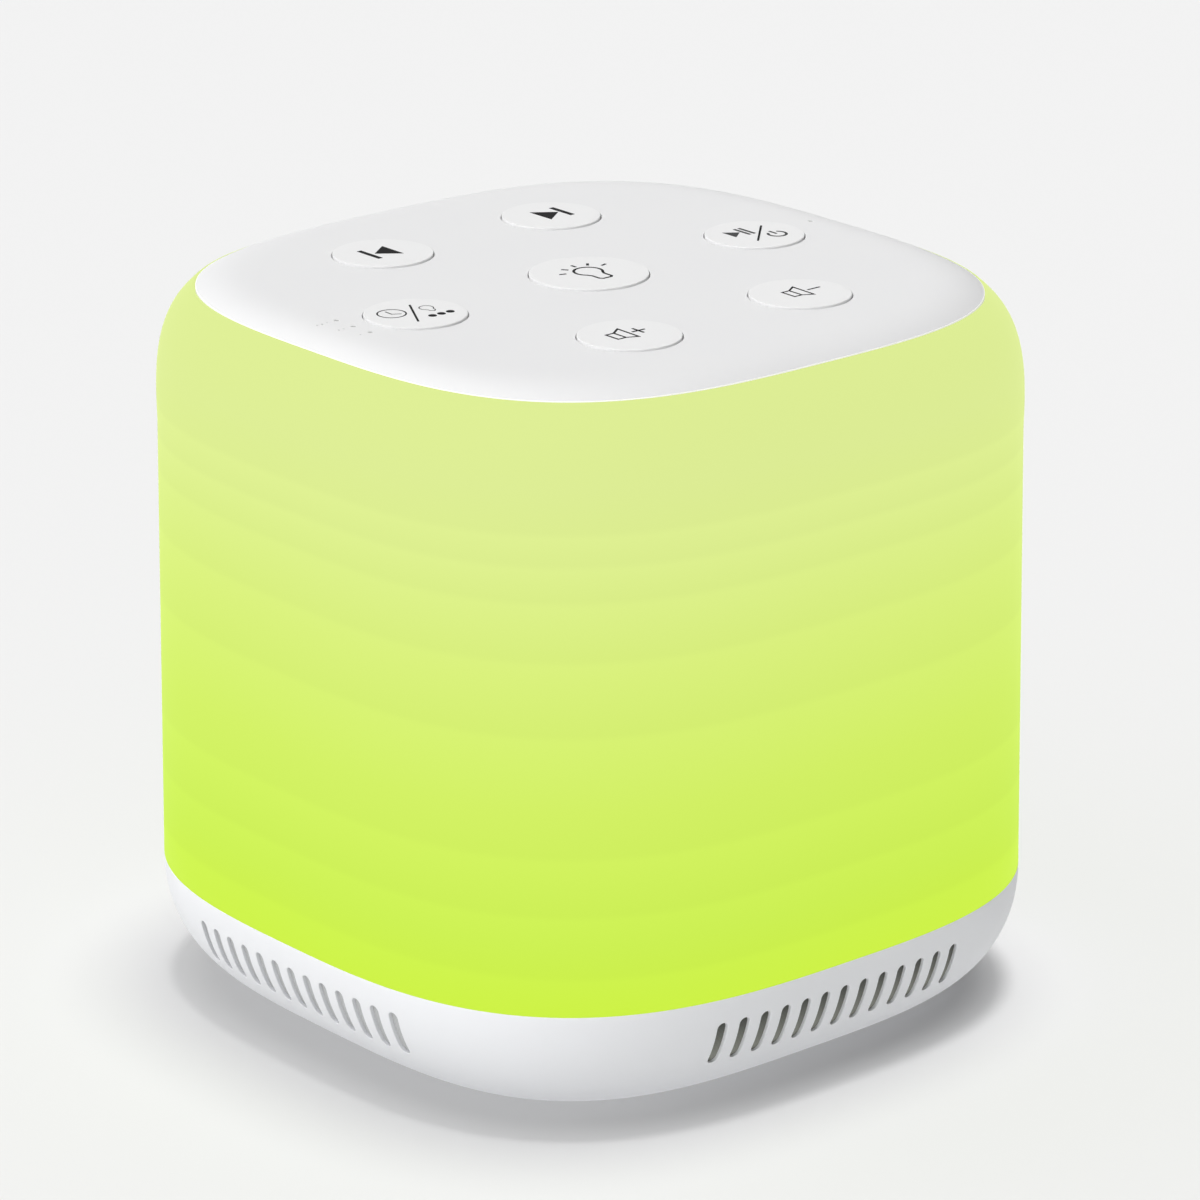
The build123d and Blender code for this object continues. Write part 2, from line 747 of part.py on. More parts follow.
def make_chips():
    """The sound chip, the amplifier and the memory, on top of the main board."""
    places = [(-6, 5, 9, 9, 1.4), (7, 6, 5, 6, 1.4), (6, -4, 6, 5, 1.2)]
    chips = []
    for x, y, width, depth, height in places:
        chips.append(block((x - width / 2, x + width / 2), (y - depth / 2, y + depth / 2),
                           (main_board_top, main_board_top + height)))
    return joined(chips)


def make_capacitors():
    """Two upright electrolytic capacitors."""
    places = [(-10, -6), (-3, -9)]
    return joined([disc(2.5, main_board_top, main_board_top + 6.5, x, y) for x, y in places])


def make_connectors():
    """Ribbon connectors on the main board and under the key board."""
    low = block((-5, 5), (-2.2, 2.2), (main_board_top, main_board_top + 4.5))
    high = block((-5, 5), (-2.2, 2.2), (key_board_z - 4.5, key_board_z))
    slit_low = block((-4.2, 4.2), (-0.4, 0.4), (main_board_top + 1.5, main_board_top + 5))
    slit_high = block((-4.2, 4.2), (-0.4, 0.4), (key_board_z - 5, key_board_z - 1.5))
    return joined([Pos(0, 12, 0) * (low - slit_low), Pos(0, 12, 0) * (high - slit_high)])


def make_ribbon():
    """A flat cable between the two connectors, with a slack bow."""
    low = main_board_top + 1.6
    high = key_board_z - 1.6
    straight = 4.5
    bow = 5.0
    start = (0, 12, low)
    first = (0, 12, low + straight)
    last = (0, 12, high - straight)
    middle = (0, 12 - bow, (low + high) / 2)
    path = Wire([*Line(start, first).edges(),
                 *Spline(first, middle, last, tangents=((0, 0, 1), (0, 0, 1))).edges(),
                 *Line(last, (0, 12, high)).edges()])
    section = Plane(origin=start, z_dir=(0, 0, 1)) * Rectangle(8.0, 0.4)
    return sweep(section, path)


# ---------------------------------------------------------------- keys
def key_places():
    """Name, centre and radius of each key, the ring first."""
    ring = around(key_count, key_ring)
    keys = [(name, x, y, key_radius) for name, (x, y) in zip(key_names, ring)]
    return keys + [("light", 0.0, 0.0, centre_key_radius)]


def make_key(x, y, radius):
    """A hollow cap with a flange, a stem on the switch and a lug that keeps it from turning."""
    top = top_z + key_proud
    crown = chamfer(disc(radius, flange_z, top).edges().group_by(Axis.Z)[-1], key_edge)
    flange = disc(radius + key_flange, flange_z, flange_top)
    lug = block((-key_lug / 2, key_lug / 2), (radius, radius + key_flange + 0.8), (flange_z, flange_top))
    hollow = tube(radius - key_skin, stem_radius + 0.6, flange_z - 1, top - key_skin)
    stem = disc(stem_radius, stem_z, flange_z + 0.5)
    return Pos(x, y) * (crown + flange + lug - hollow + stem)


def make_plunger(x, y):
    return disc(plunger_radius, switch_top - plunger_depth, switch_top + plunger_proud, x, y)


def make_switches():
    """Tactile switch bodies with a bore for each plunger."""
    bodies = []
    reach = switch_size / 2
    for _, x, y, _ in key_places():
        body = block((x - reach, x + reach), (y - reach, y + reach), (key_board_top, switch_top))
        bore = disc(plunger_radius + 0.12, switch_top - plunger_depth - key_travel - 0.2,
                    switch_top + 1, x, y)
        bodies.append(body - bore)
    return joined(bodies)


def make_key_board():
    board = disc(key_board_radius, key_board_z, key_board_top)
    for x, y in boss_places():
        board -= disc(screw_radius + fit_gap, key_board_z - 1, key_board_top + 1, x, y)
    return board


def boss_places():
    return [(cap_boss_circle * cos(radians(a)), cap_boss_circle * sin(radians(a)))
            for a in cap_boss_angles]


def make_key_board_screws():
    return joined([screw(x, y, key_board_z, board_wall + 4.5) for x, y in boss_places()])


# ---------------------------------------------------------------- indicator lights
def indicator_places():
    row = -(key_ring + key_radius + timer_light_out)
    places = [(row, timer_light_shift + timer_light_pitch * k) for k in (-1, 0, 1)]
    return places + [(key_ring + key_radius + power_light_out, power_light_shift)]


def make_light_pipes():
    """Clear pins that end flush in the cap."""
    low = key_board_top + 1.0
    pins = []
    for x, y in indicator_places():
        pins.append(disc(indicator_radius, low, top_z - 0.05, x, y))
    return joined(pins)


def make_indicator_chips():
    reach = indicator_chip / 2
    return joined([block((x - reach, x + reach), (y - reach, y + reach),
                         (key_board_top, key_board_top + 0.6)) for x, y in indicator_places()])


# ---------------------------------------------------------------- shade and cap
ledge_under = top_z - cap_wall - 3.4         # ring inside the shade's mouth that the cap sits on
ledge_seat = ledge_under + 1.6
body_form = upper_skin()


def make_shade():
    shade = body_form - upper_skin(shade_wall)
    shade += prism(cap_half + 1.2, ledge_under, ledge_seat, plan_power_cap)
    shade -= prism(cap_half - 2.6, ledge_under - 1, top_z + 1, plan_power_cap)
    shade -= prism(cap_half, ledge_seat, top_z + 1, plan_power_cap)
    return shade


def make_cap():
    power = plan_power_cap
    outer = body_form & prism(cap_half - fit_gap, ledge_seat, top_z + 1, power)
    cavity = upper_skin(cap_wall) & prism(cap_half - fit_gap - 1.6, ledge_seat - 1, top_z + 1, power)
    cap = outer - cavity
    for _, x, y, radius in key_places():
        sleeve = radius + key_flange + seat_gap
        collar = tube(sleeve + collar_wall, sleeve, cap_under - collar_height, cap_under + 0.4)
        gap = block((-key_lug / 2 - 0.2, key_lug / 2 + 0.2), (radius, radius + 5),
                    (cap_under - collar_height - 1, cap_under))
        cap += Pos(x, y) * (collar - gap)
        cap -= disc(radius + key_gap, cap_under - 1, top_z + 1, x, y)
    for x, y in boss_places():
        cap += disc(cap_boss_radius, key_board_top, cap_under + 0.4, x, y)
        cap -= disc(screw_radius + screw_slack, key_board_top - 1, key_board_top + 5, x, y)
    for x, y in indicator_places():
        cap -= disc(indicator_radius + screw_slack, key_board_top, top_z + 1, x, y)
    return cap


# ---------------------------------------------------------------- all nodes
nodes = {
    "base_shell": make_base_shell(),
    "slot_cloth": make_slot_cloth(),
    "bottom_cover": make_bottom_cover(),
    "rubber_feet": make_feet(),
    "cover_screws": make_cover_screws(),
    "chassis": make_chassis(),
    "inlet_shell": make_socket(),
    "inlet_tongue": make_socket_tongue(),
    "inlet_board": make_socket_board(),
    "inlet_screws": make_socket_screws(),
    "speaker_gasket": make_gasket(),
    "speaker_frame": make_speaker_frame(),
    "speaker_top_plate": make_top_plate(),
    "speaker_magnet": make_magnet(),
    "speaker_yoke": make_yoke(),
    "voice_coil": make_voice_coil(),
    "speaker_cone": make_cone(),
    "speaker_dust_cap": make_dust_cap(),
    "speaker_surround": make_surround(),
    "speaker_spider": make_spider(),
    "speaker_screws": make_speaker_screws(),
    "light_board": make_light_board(),
    "light_emitters": make_emitters(),
    "light_core": make_light_core(),
    "core_screws": make_core_screws(),
    "main_board": make_main_board(),
    "main_board_screws": make_board_screws(),
    "sound_chips": make_chips(),
    "capacitors": make_capacitors(),
    "ribbon_connectors": make_connectors(),
    "ribbon_cable": make_ribbon(),
    "key_board": make_key_board(),
    "key_board_screws": make_key_board_screws(),
    "key_switches": make_switches(),
    "light_pipes": make_light_pipes(),
    "indicator_chips": make_indicator_chips(),
    "shade": make_shade(),
    "top_cap": make_cap(),
}
for name, x, y, radius in key_places():
    nodes["key_" + name] = make_key(x, y, radius)
    nodes["plunger_" + name] = make_plunger(x, y)

for name, shape in nodes.items():
    export_step(shape, "parts/" + name + ".step")
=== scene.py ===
import json
import math

import bmesh
import bpy
import numpy as np
from mathutils import Matrix, Vector
from mathutils.geometry import delaunay_2d_cdt


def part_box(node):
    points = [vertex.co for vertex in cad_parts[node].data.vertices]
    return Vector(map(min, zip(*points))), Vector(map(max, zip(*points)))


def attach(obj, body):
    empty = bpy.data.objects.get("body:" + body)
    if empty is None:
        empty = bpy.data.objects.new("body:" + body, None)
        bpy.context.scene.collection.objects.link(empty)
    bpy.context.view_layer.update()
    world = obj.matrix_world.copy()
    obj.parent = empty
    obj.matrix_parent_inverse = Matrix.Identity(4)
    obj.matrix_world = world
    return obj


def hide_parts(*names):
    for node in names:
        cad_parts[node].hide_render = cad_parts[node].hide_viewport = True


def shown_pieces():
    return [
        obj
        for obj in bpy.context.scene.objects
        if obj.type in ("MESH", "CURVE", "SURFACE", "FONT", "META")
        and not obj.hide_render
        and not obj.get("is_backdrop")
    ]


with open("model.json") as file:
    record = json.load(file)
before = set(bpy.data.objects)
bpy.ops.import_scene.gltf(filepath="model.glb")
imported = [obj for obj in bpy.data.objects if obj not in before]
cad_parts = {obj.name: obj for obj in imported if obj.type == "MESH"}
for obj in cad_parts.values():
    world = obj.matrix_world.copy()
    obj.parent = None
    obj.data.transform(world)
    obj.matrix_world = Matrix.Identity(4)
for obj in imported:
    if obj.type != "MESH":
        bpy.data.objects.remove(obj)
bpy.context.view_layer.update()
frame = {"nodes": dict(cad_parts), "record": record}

# A white noise sound machine with a night light: a rounded cube with a slotted white base,
# a glowing shade and a white cap with seven push keys. Lengths are in millimetres here and
# become metres when a mesh is made. +Z is up, and -Y is the side the keys read from.

mm = 0.001
mergeDistance = 2e-6   # in metres
nodes = frame["nodes"]


def boxOf(node):
    low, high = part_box(node)
    return np.array(low) / mm, np.array(high) / mm


# the outer form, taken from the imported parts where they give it
shadeLow, shadeHigh = boxOf("shade")
capHigh = boxOf("top_cap")[1]

form = dict(
    floorZ=boxOf("base_shell")[0][2], seamZ=shadeLow[2], topZ=capHigh[2],
    half=50.0,   # from the middle to the base's widest line
    baseRun=12.92, baseRise=17.2, seamHalf=shadeHigh[0],
    shoulderHalf=49.17, shoulderRun=12.25, shoulderRise=18.91, shoulderPower=2.945,
    capGap=0.15, wall=2.0, baseSteps=400, shoulderSteps=800,
    powers=(3.3, 2.95, 3.0, 3.12),   # squircle exponents at floor, seam, shoulder and top
)
form["capHalf"] = capHigh[0] + form["capGap"]
form["shoulderZ"] = form["topZ"] - form["shoulderRise"]
form["baseFlat"] = form["half"] - form["baseRun"]
form["capFlat"] = form["shoulderHalf"] - form["shoulderRun"]
form["roundZ"] = form["floorZ"] + form["baseRise"]


def planPower(z):
    marks = (form["floorZ"], form["seamZ"], form["shoulderZ"], form["topZ"])
    return np.interp(z, marks, form["powers"])


# A point of a superelliptic quarter at an angle: out = cos^(2/p), up = sin^(2/p). The point
# moves in along its normal, (out^(p-1)/run, up^(p-1)/rise), by the depth. Gives size and height.
def quarterCurve(angle, flat, z, run, rise, power, depth=0.0):
    out = np.clip(np.cos(angle), 0, 1) ** (2 / power)
    up = np.clip(np.sin(angle), 0, 1) ** (2 / power)
    normalOut = out ** (power - 1) / run
    normalUp = up ** (power - 1) / rise
    length = np.hypot(normalOut, normalUp)
    size = flat + run * out - depth * normalOut / length
    height = z + rise * up - depth * normalUp / length
    return size, height


def baseCurve(angle, depth=0.0):
    f = form
    return quarterCurve(angle, f["baseFlat"], f["roundZ"], f["baseRun"], -f["baseRise"], 2.0, depth)


def shoulderCurve(angle, depth=0.0):
    f = form
    return quarterCurve(angle, f["capFlat"], f["shoulderZ"], f["shoulderRun"],
                        f["shoulderRise"], f["shoulderPower"], depth)


# half the base's width at a height, on the skin or at a depth inside it
def baseSize(z, depth=0.0):
    sizes, heights = baseCurve(np.radians(np.linspace(90, 0.5, form["baseSteps"])), depth)
    return np.interp(z, heights, sizes)


# the angle on the shoulder at which its size has come in to a given one
def shoulderAngle(size, depth=0.0):
    angles = np.radians(np.linspace(0, 90, form["shoulderSteps"]))
    sizes, _ = shoulderCurve(angles, depth)
    return np.interp(-size, -sizes, angles)


# rings round the squircle |x|^n + |y|^n = size^n
ringSettings = dict(pitch=3.25, slots=13, perPitch=6, corner=18, zoneShare=0.7)
slotZone = ringSettings["pitch"] * ringSettings["slots"] / 2


# Each side of a ring has columns at fixed x across the slot zone, then columns at even angles
# round to the corner. Sizes and powers are one per row; gives x and y of rows by columns.
def ringPoints(size, power):
    s = ringSettings
    size = np.atleast_1d(size)[:, None].astype(float)
    power = np.broadcast_to(np.atleast_1d(power)[:, None], size.shape).astype(float)
    zone = min(slotZone, float(size.min()) * s["zoneShare"])
    flat = np.linspace(-zone, zone, s["slots"] * s["perPitch"] + 1)[None, :]
    depth = (size ** power - np.abs(flat) ** power) ** (1 / power)
    start = np.arctan2(zone, depth[:, -1:])
    turn = start + (math.pi / 4 - start) * np.linspace(0, 1, s["corner"] + 1)[None, 1:]
    reach = size * (np.cos(turn) ** power + np.sin(turn) ** power) ** (-1 / power)
    x = np.concatenate([np.broadcast_to(flat, depth.shape), reach * np.sin(turn)], axis=1)
    y = np.concatenate([depth, reach * np.cos(turn)], axis=1)
    # the other half corner, without the point that the next side shares
    back = slice(None, -s["corner"] - 1, -1)
    x = np.concatenate([-x[:, back][:, 1:], x], axis=1)
    y = -np.concatenate([y[:, back][:, 1:], y], axis=1)
    return np.concatenate([x, -y, -x, y], axis=1), np.concatenate([y, x, -y, -x], axis=1)


# quads of a grid that is stored row by row, wrapping where it is closed
def gridFaces(rows, columns, closedRows=False, closedColumns=True):
    r = np.arange(rows if closedRows else rows - 1)[:, None]
    c = np.arange(columns if closedColumns else columns - 1)[None, :]
    nextR, nextC = (r + 1) % rows, (c + 1) % columns
    quads = [r * columns + c, r * columns + nextC, nextR * columns + nextC, nextR * columns + c]
    return np.stack(np.broadcast_arrays(*quads), axis=-1)


# a profile from its stretches, each of them sizes and heights
def profileOf(*stretches):
    return tuple(np.concatenate([np.asarray(part[k], float) for part in stretches]) for k in (0, 1))


# carries a profile of sizes and heights round the squircle; gives vertices and quads
def carried(sizes, heights, closed=True):
    x, y = ringPoints(sizes, planPower(heights))
    z = np.broadcast_to(heights[:, None], x.shape)
    return np.stack([x, y, z], axis=-1), gridFaces(len(sizes), x.shape[1], closedRows=closed)


# at each turn of a rounded edge: how far it still has to go, and how far it has dropped
def roundedEdge(radius, turns=(30, 60, 90)):
    turns = np.radians(turns)
    return radius * (1 - np.sin(turns)), radius * (1 - np.cos(turns))


# from arrays to pieces
def addObject(name, data):
    made = bpy.data.objects.new(name, data)
    bpy.context.scene.collection.objects.link(made)
    return made


# a piece made of several parts' points and cells, merged, with its body and its slot
def makePiece(name, parts, material, body="housing", sharp=40, replaces=()):
    vertices, faces, start = [], [], 0
    for points, cells in parts:
        points = np.asarray(points, float).reshape(-1, 3)
        cells = np.asarray(cells)
        vertices.append(points)
        faces += (cells.reshape(-1, cells.shape[-1]) + start).tolist()
        start += len(points)
    mesh = bpy.data.meshes.new(name)
    mesh.from_pydata((np.concatenate(vertices) * mm).tolist(), [], faces)
    work = bmesh.new()
    work.from_mesh(mesh)
    bmesh.ops.remove_doubles(work, verts=work.verts, dist=mergeDistance)
    loose = [v for v in work.verts if not v.link_faces]
    bmesh.ops.delete(work, geom=loose, context="VERTS")
    bmesh.ops.recalc_face_normals(work, faces=work.faces)
    if work.calc_volume(signed=True) < 0:
        bmesh.ops.reverse_faces(work, faces=work.faces)
    openEdges = sum(1 for e in work.edges if len(e.link_faces) != 2)
    work.to_mesh(mesh)
    work.free()
    mesh.shade_smooth()
    mesh.set_sharp_from_angle(angle=math.radians(sharp))
    piece = addObject(name, mesh)
    mesh.materials.append(material)
    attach(piece, body)
    if replaces:
        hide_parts(*replaces)
    print("piece", name, len(mesh.polygons), "faces, open edges", openEdges)
    return piece


def faceCentres(piece):
    centres = np.zeros(len(piece.data.polygons) * 3)
    piece.data.polygons.foreach_get("center", centres)
    return centres.reshape(-1, 3) / mm


# a second material for the chosen faces of a piece
def secondMaterial(piece, material, chosen):
    piece.data.materials.append(material)
    piece.data.polygons.foreach_set("material_index", chosen.astype(np.int32))


# the size of the squircle through a point, (|x|^n + |y|^n)^(1/n)
def squircleSize(points, power):
    return (np.abs(points[..., 0]) ** power + np.abs(points[..., 1]) ** power) ** (1 / power)


# materials
def srgb(*values):
    shares = [v / 255 for v in values]
    linear = [v / 12.92 if v <= 0.04045 else ((v + 0.055) / 1.055) ** 2.4 for v in shares]
    return (*linear, 1.0)


# sets a node's inputs, by name or number, each to a value or to another node's socket
def setInputs(tree, node, inputs):
    for key, value in inputs.items():
        if isinstance(value, bpy.types.NodeSocket):
            tree.links.new(value, node.inputs[key])
        else:
            node.inputs[key].default_value = value


# a new node with its settings, its first inputs in order and others by name
def addNode(tree, kind, *values, inputs=None, **settings):
    node = tree.nodes.new("ShaderNode" + kind)
    for key, value in settings.items():
        setattr(node, key, value)
    setInputs(tree, node, dict(enumerate(values)) | (inputs or {}))
    return node


def mathStep(tree, operation, *values):
    return addNode(tree, "Math", *values, operation=operation).outputs[0]


def mapRange(tree, value, fromLow, fromHigh, low=0.0, high=1.0, **settings):
    return addNode(tree, "MapRange", value, fromLow, fromHigh, low, high, **settings).outputs["Result"]


def mixColour(tree, share, first, second):
    inputs = {"Factor": share, "A": first, "B": second}
    return addNode(tree, "Mix", data_type="RGBA", inputs=inputs).outputs["Result"]


def objectPlace(tree):
    return addNode(tree, "TexCoord").outputs["Object"]


# how far a point lies along a direction
def dotStep(tree, place, direction):
    return addNode(tree, "VectorMath", place, direction, operation="DOT_PRODUCT").outputs["Value"]


def bumpNormal(tree, look, height):
    inputs = {"Strength": look["bump"], "Distance": look["bumpDepth"], "Height": height}
    return addNode(tree, "Bump", inputs=inputs).outputs["Normal"]


# 1 for the rays that see a surface, straight or through a gloss or a clear piece, 0 for its light
def seenRays(tree):
    path = addNode(tree, "LightPath").outputs
    seen = mathStep(tree, "MAXIMUM", path["Is Camera Ray"], path["Is Glossy Ray"])
    return mathStep(tree, "MAXIMUM", seen, path["Is Transmission Ray"])


def newMaterial(name):
    material = bpy.data.materials.new(name)
    material.use_nodes = True
    tree = material.node_tree
    tree.nodes.clear()
    shader = addNode(tree, "BsdfPrincipled")
    addNode(tree, "OutputMaterial", shader.outputs["BSDF"])
    return material, tree, shader


# Moulded plastic: a cloudy drift between two tones, a fine grain for the bump, and a roughness
# that follows the grain. Every piece but the shade and the cloth has it, with values of its own.
def buildMouldedGrain():
    group = bpy.data.node_groups.new("mouldedGrain", "ShaderNodeTree")
    given = {"Tone": "Color", "Drift Tone": "Color", "Drift Size": "Float", "Grain Size": "Float",
             "Roughness": "Float", "Roughness Spread": "Float"}
    made = {"Color": "Color", "Surface Roughness": "Float", "Height": "Float"}
    for way, sockets in (("INPUT", given), ("OUTPUT", made)):
        for name, kind in sockets.items():
            group.interface.new_socket(name=name, in_out=way, socket_type="NodeSocket" + kind)
    given = group.nodes.new("NodeGroupInput").outputs
    place = objectPlace(group)
    drift = addNode(group, "TexNoise", inputs={
        "Vector": place, "Scale": given["Drift Size"], "Detail": 2.0})
    grain = addNode(group, "TexNoise", inputs={
        "Vector": place, "Scale": given["Grain Size"], "Detail": 3.0, "Roughness": 0.6}).outputs["Fac"]
    centred = mathStep(group, "SUBTRACT", grain, 0.5)
    rough = mathStep(group, "MULTIPLY_ADD", centred, given["Roughness Spread"], given["Roughness"])
    tone = mixColour(group, drift.outputs["Fac"], given["Tone"], given["Drift Tone"])
    setInputs(group, group.nodes.new("NodeGroupOutput"), {
        "Color": tone, "Surface Roughness": rough, "Height": grain})
    return group


mouldedGrain = buildMouldedGrain()
plainLook = dict(driftSize=60.0, grainSize=2500.0, spread=0.08, bump=0.05, bumpDepth=0.00002,
                 specular=0.3, metallic=0.0)


# two tones and a roughness, with the rest as in the plain look unless it is given
def lookOf(tone, driftTone, roughness, **others):
    return plainLook | dict(tone=tone, driftTone=driftTone, roughness=roughness) | others


def mouldedPlastic(name, look):
    material, tree, shader = newMaterial(name)
    grain = addNode(tree, "Group", node_tree=mouldedGrain, inputs={
        "Tone": srgb(*look["tone"]), "Drift Tone": srgb(*look["driftTone"]),
        "Drift Size": look["driftSize"], "Grain Size": look["grainSize"],
        "Roughness": look["roughness"], "Roughness Spread": look["spread"]}).outputs
    setInputs(tree, shader, {
        "Base Color": grain["Color"], "Roughness": grain["Surface Roughness"],
        "Normal": bumpNormal(tree, look, grain["Height"]), "Specular IOR Level": look["specular"],
        "Metallic": look["metallic"]})
    return material


outerLooks = dict(
    baseWhite=lookOf((240, 241, 244), (239, 240, 243), 0.55),
    # a darker white with painted shade in it, for the slots' walls on the -X side
    slotPaintedShade=lookOf((224, 225, 228), (222, 223, 226), 0.6),
    capWhite=lookOf((243, 243, 243), (241, 241, 242), 0.55),
    keyWhite=lookOf((247, 247, 247), (246, 246, 246), 0.5),
)
baseWhite, slotPaintedShade, capWhite, keyWhite = (
    mouldedPlastic(name, look) for name, look in outerLooks.items())

# The shade is lit from inside: its colour climbs from lime at the base to pale at the shoulder.
# Faint bands run round it, bent a little by noise: each pales towards its upper edge.
shadeLook = dict(
    stops=((0.0, (206, 243, 68)), (0.12, (205, 241, 82)), (0.34, (211, 241, 100)),
           (0.56, (217, 240, 123)), (0.74, (221, 239, 142)), (0.86, (222, 238, 149)),
           (1.0, (222, 238, 149))),
    bandEdges=(22.0, 30.0, 37.5, 53.0, 62.5, 70.0, 74.5, 78.5), bandSoft=0.4, bandDark=0.975,
    bandPale=1.005, bandEnd=0.99, bandBend=0.6, bendScale=14.0,
    glow=0.95, spill=0.35, base=0.06, roughness=0.6, specular=0.05,
)


# a colour ramp over the shade's height, from its seam to its top
def heightRamp(tree, height, stops):
    ramp = addNode(tree, "ValToRGB", mapRange(tree, height, form["seamZ"] * mm, form["topZ"] * mm))
    elements = ramp.color_ramp.elements
    while len(elements) < len(stops):
        elements.new(0.5)
    for element, (position, colour) in zip(elements, stops):
        element.position = position
        element.color = colour
    return ramp.outputs["Color"]


# The camera sees the glow, and a weaker spill of it falls on the pieces around.
def shadeMaterial():
    look = shadeLook
    material, tree, shader = newMaterial("shadeGlow")
    place = objectPlace(tree)
    height = addNode(tree, "SeparateXYZ", place).outputs["Z"]
    noise = addNode(tree, "TexNoise", inputs={"Vector": place, "Scale": look["bendScale"], "Detail": 1.0})
    bent = mathStep(tree, "MULTIPLY_ADD", noise.outputs["Fac"], look["bandBend"] * mm, height)
    colour = heightRamp(tree, height, [(at, srgb(*tone)) for at, tone in look["stops"]])
    low, rise, soft = form["seamZ"], form["topZ"] - form["seamZ"], look["bandSoft"]
    levels = [(0.0, look["bandEnd"])]
    for edge in look["bandEdges"]:
        levels.append(((edge - soft - low) / rise, look["bandPale"]))
        levels.append(((edge + soft - low) / rise, look["bandDark"]))
    levels.append((1.0, look["bandEnd"]))
    bands = heightRamp(tree, bent, [(at, (level, level, level, 1)) for at, level in levels])
    shaded = addNode(tree, "VectorMath", colour, bands, operation="MULTIPLY")
    dim = addNode(tree, "VectorMath", colour, operation="SCALE", inputs={"Scale": look["base"]})
    seen = addNode(tree, "LightPath").outputs["Is Camera Ray"]
    setInputs(tree, shader, {
        "Emission Color": shaded.outputs["Vector"], "Base Color": dim.outputs["Vector"],
        "Emission Strength": mapRange(tree, seen, 0.0, 1.0, look["spill"], look["glow"]),
        "Roughness": look["roughness"], "Specular IOR Level": look["specular"]})
    return material


shadeGlow = shadeMaterial()
print("stage: shared materials")


# base shell
baseSettings = dict(
    coverHalf=33.08, shelf=2.0, shelfRise=1.5, shelfGap=0.35, tongueRise=3.5, tongueHalf=47.807,
    rimHalf=46.507, chassisZ=14.0, slotWidth=1.5, slotLow=7.4, slotHigh=13.45, slotRound=0.07,
    # the slots beyond this x get the painted shade on their walls
    slotRows=16, slotSpare=0.02, paintedShadeBeyond=-40.0, zoneLow=6.4, seamRound=0.02, pocketWall=0.47,
    inletWidth=9.64, inletHeight=3.96, inletZ=10.4, inletRound=0.04, inletReach=10,
    ribWall=1.2, ribSpread=14.0, ribReach=10.0, ribRise=5.0, ribSink=1.0, footSink=0.4,
    postRadius=2.4, postHole=0.95, postX=7.6, postSides=32, roundRows=20, topRows=8, innerRows=12,
)


# the sides of a border in turn, each without its last point
def joined(sides):
    return tuple(np.concatenate([side[k][:-1] for side in sides]) for k in (0, 1))


# The outline of a round-ended hole, widened by grow, point for point with its cell's border. It is
# worked out lying down; upright, it is turned a quarter, and its round ends take a quarter of the
# points beside them.
def holeOutline(x, low, high, width, grow, across, up, upright):
    radius, reach = min(width, high - low) / 2 + grow, abs(high - low - width) / 2
    shift = up // 4 if upright else 0
    endSteps, sideSteps = (across + 2 * shift, up - 2 * shift) if upright else (up, across)
    turn = np.linspace(-np.pi / 2, np.pi / 2, endSteps + 1)
    row = np.linspace(-reach, reach, sideSteps + 1)
    out, rise, side = reach + radius * np.cos(turn), radius * np.sin(turn), np.full(len(row), radius)
    along, above = joined([(row, -side), (out, rise), (row[::-1], side), (-out, -rise)])
    if upright:
        along, above = (np.roll(way, endSteps - shift) for way in (-above, along))
    return x + along, (low + high) / 2 + above


def cellBorder(xs, zs):
    return joined([(xs, np.full(len(xs), zs[0])), (np.full(len(zs), xs[-1]), zs),
                   (xs[::-1], np.full(len(xs), zs[-1])), (np.full(len(zs), xs[0]), zs[::-1])])


# how far the base's skin stands from the middle at x along a side: (size^n - |x|^n)^(1/n)
def baseFront(x, z, depth):
    n = planPower(z)
    return (baseSize(z, depth) ** n - np.abs(x) ** n) ** (1 / n)


# A cell of the wall with a hole: rings from the cell's border in to the hole's edge, round the
# edge, through the wall and back out to the border on the inner skin. x and z are in the side's
# own plane.
def holedCell(xs, zs, hole, edgeRound, wall):
    border = cellBorder(xs, zs)
    rings = []

    def outline(grow):
        return holeOutline(*hole[:4], grow, len(xs) - 1, len(zs) - 1, hole[4])

    def addRing(x, z, distance):
        rings.append(np.stack([x, -distance, z], axis=-1))

    def addBetween(first, second, share, depth):
        x, z = (first[k] + (second[k] - first[k]) * share for k in (0, 1))
        addRing(x, z, baseFront(x, z, depth))

    wide, edge = outline(edgeRound), outline(0.0)
    for share in (0.0, 0.4, 0.75, 1.0):
        addBetween(border, wide, share, 0.0)
    for grow, drop in zip(*roundedEdge(edgeRound)):
        x, z = outline(grow)
        addRing(x, z, baseFront(x, z, 0.0) - drop)
    outside, inside = baseFront(*edge, 0.0) - edgeRound, baseFront(*edge, wall)
    for share in (0.5, 1.0):
        addRing(*edge, outside + (inside - outside) * share)
    for share in (0.5, 1.0):
        addBetween(edge, border, share, wall)
    return np.stack(rings), gridFaces(len(rings), len(border[0]))


# the border of a cell at one depth joined to its border at another
def cellSide(xs, zs, depths):
    x, z = cellBorder(xs, zs)
    rings = [np.stack([x, -baseFront(x, z, depth), z], axis=-1) for depth in depths]
    return np.stack(rings), gridFaces(2, len(x))


# a closed bar along a line in plan, between two heights
def uprightBar(start, end, width, low, high):
    start, end = np.array(start, float), np.array(end, float)
    along = (end - start) / np.linalg.norm(end - start)
    side = np.array([-along[1], along[0]]) * width / 2
    corners = np.array([start - side, end - side, end + side, start + side])
    points = np.vstack([np.column_stack([corners, np.full(4, z)]) for z in (low, high)])
    cells = [[0, 3, 2, 1], [4, 5, 6, 7], [0, 1, 5, 4], [1, 2, 6, 5], [2, 3, 7, 6], [3, 0, 4, 7]]
    return points, np.array(cells)


def turnedBy(points, quarters):
    x, y, z = points[..., 0], points[..., 1], points[..., 2]
    for _ in range(quarters):
        x, y = -y, x
    return np.stack([x, y, z], axis=-1)


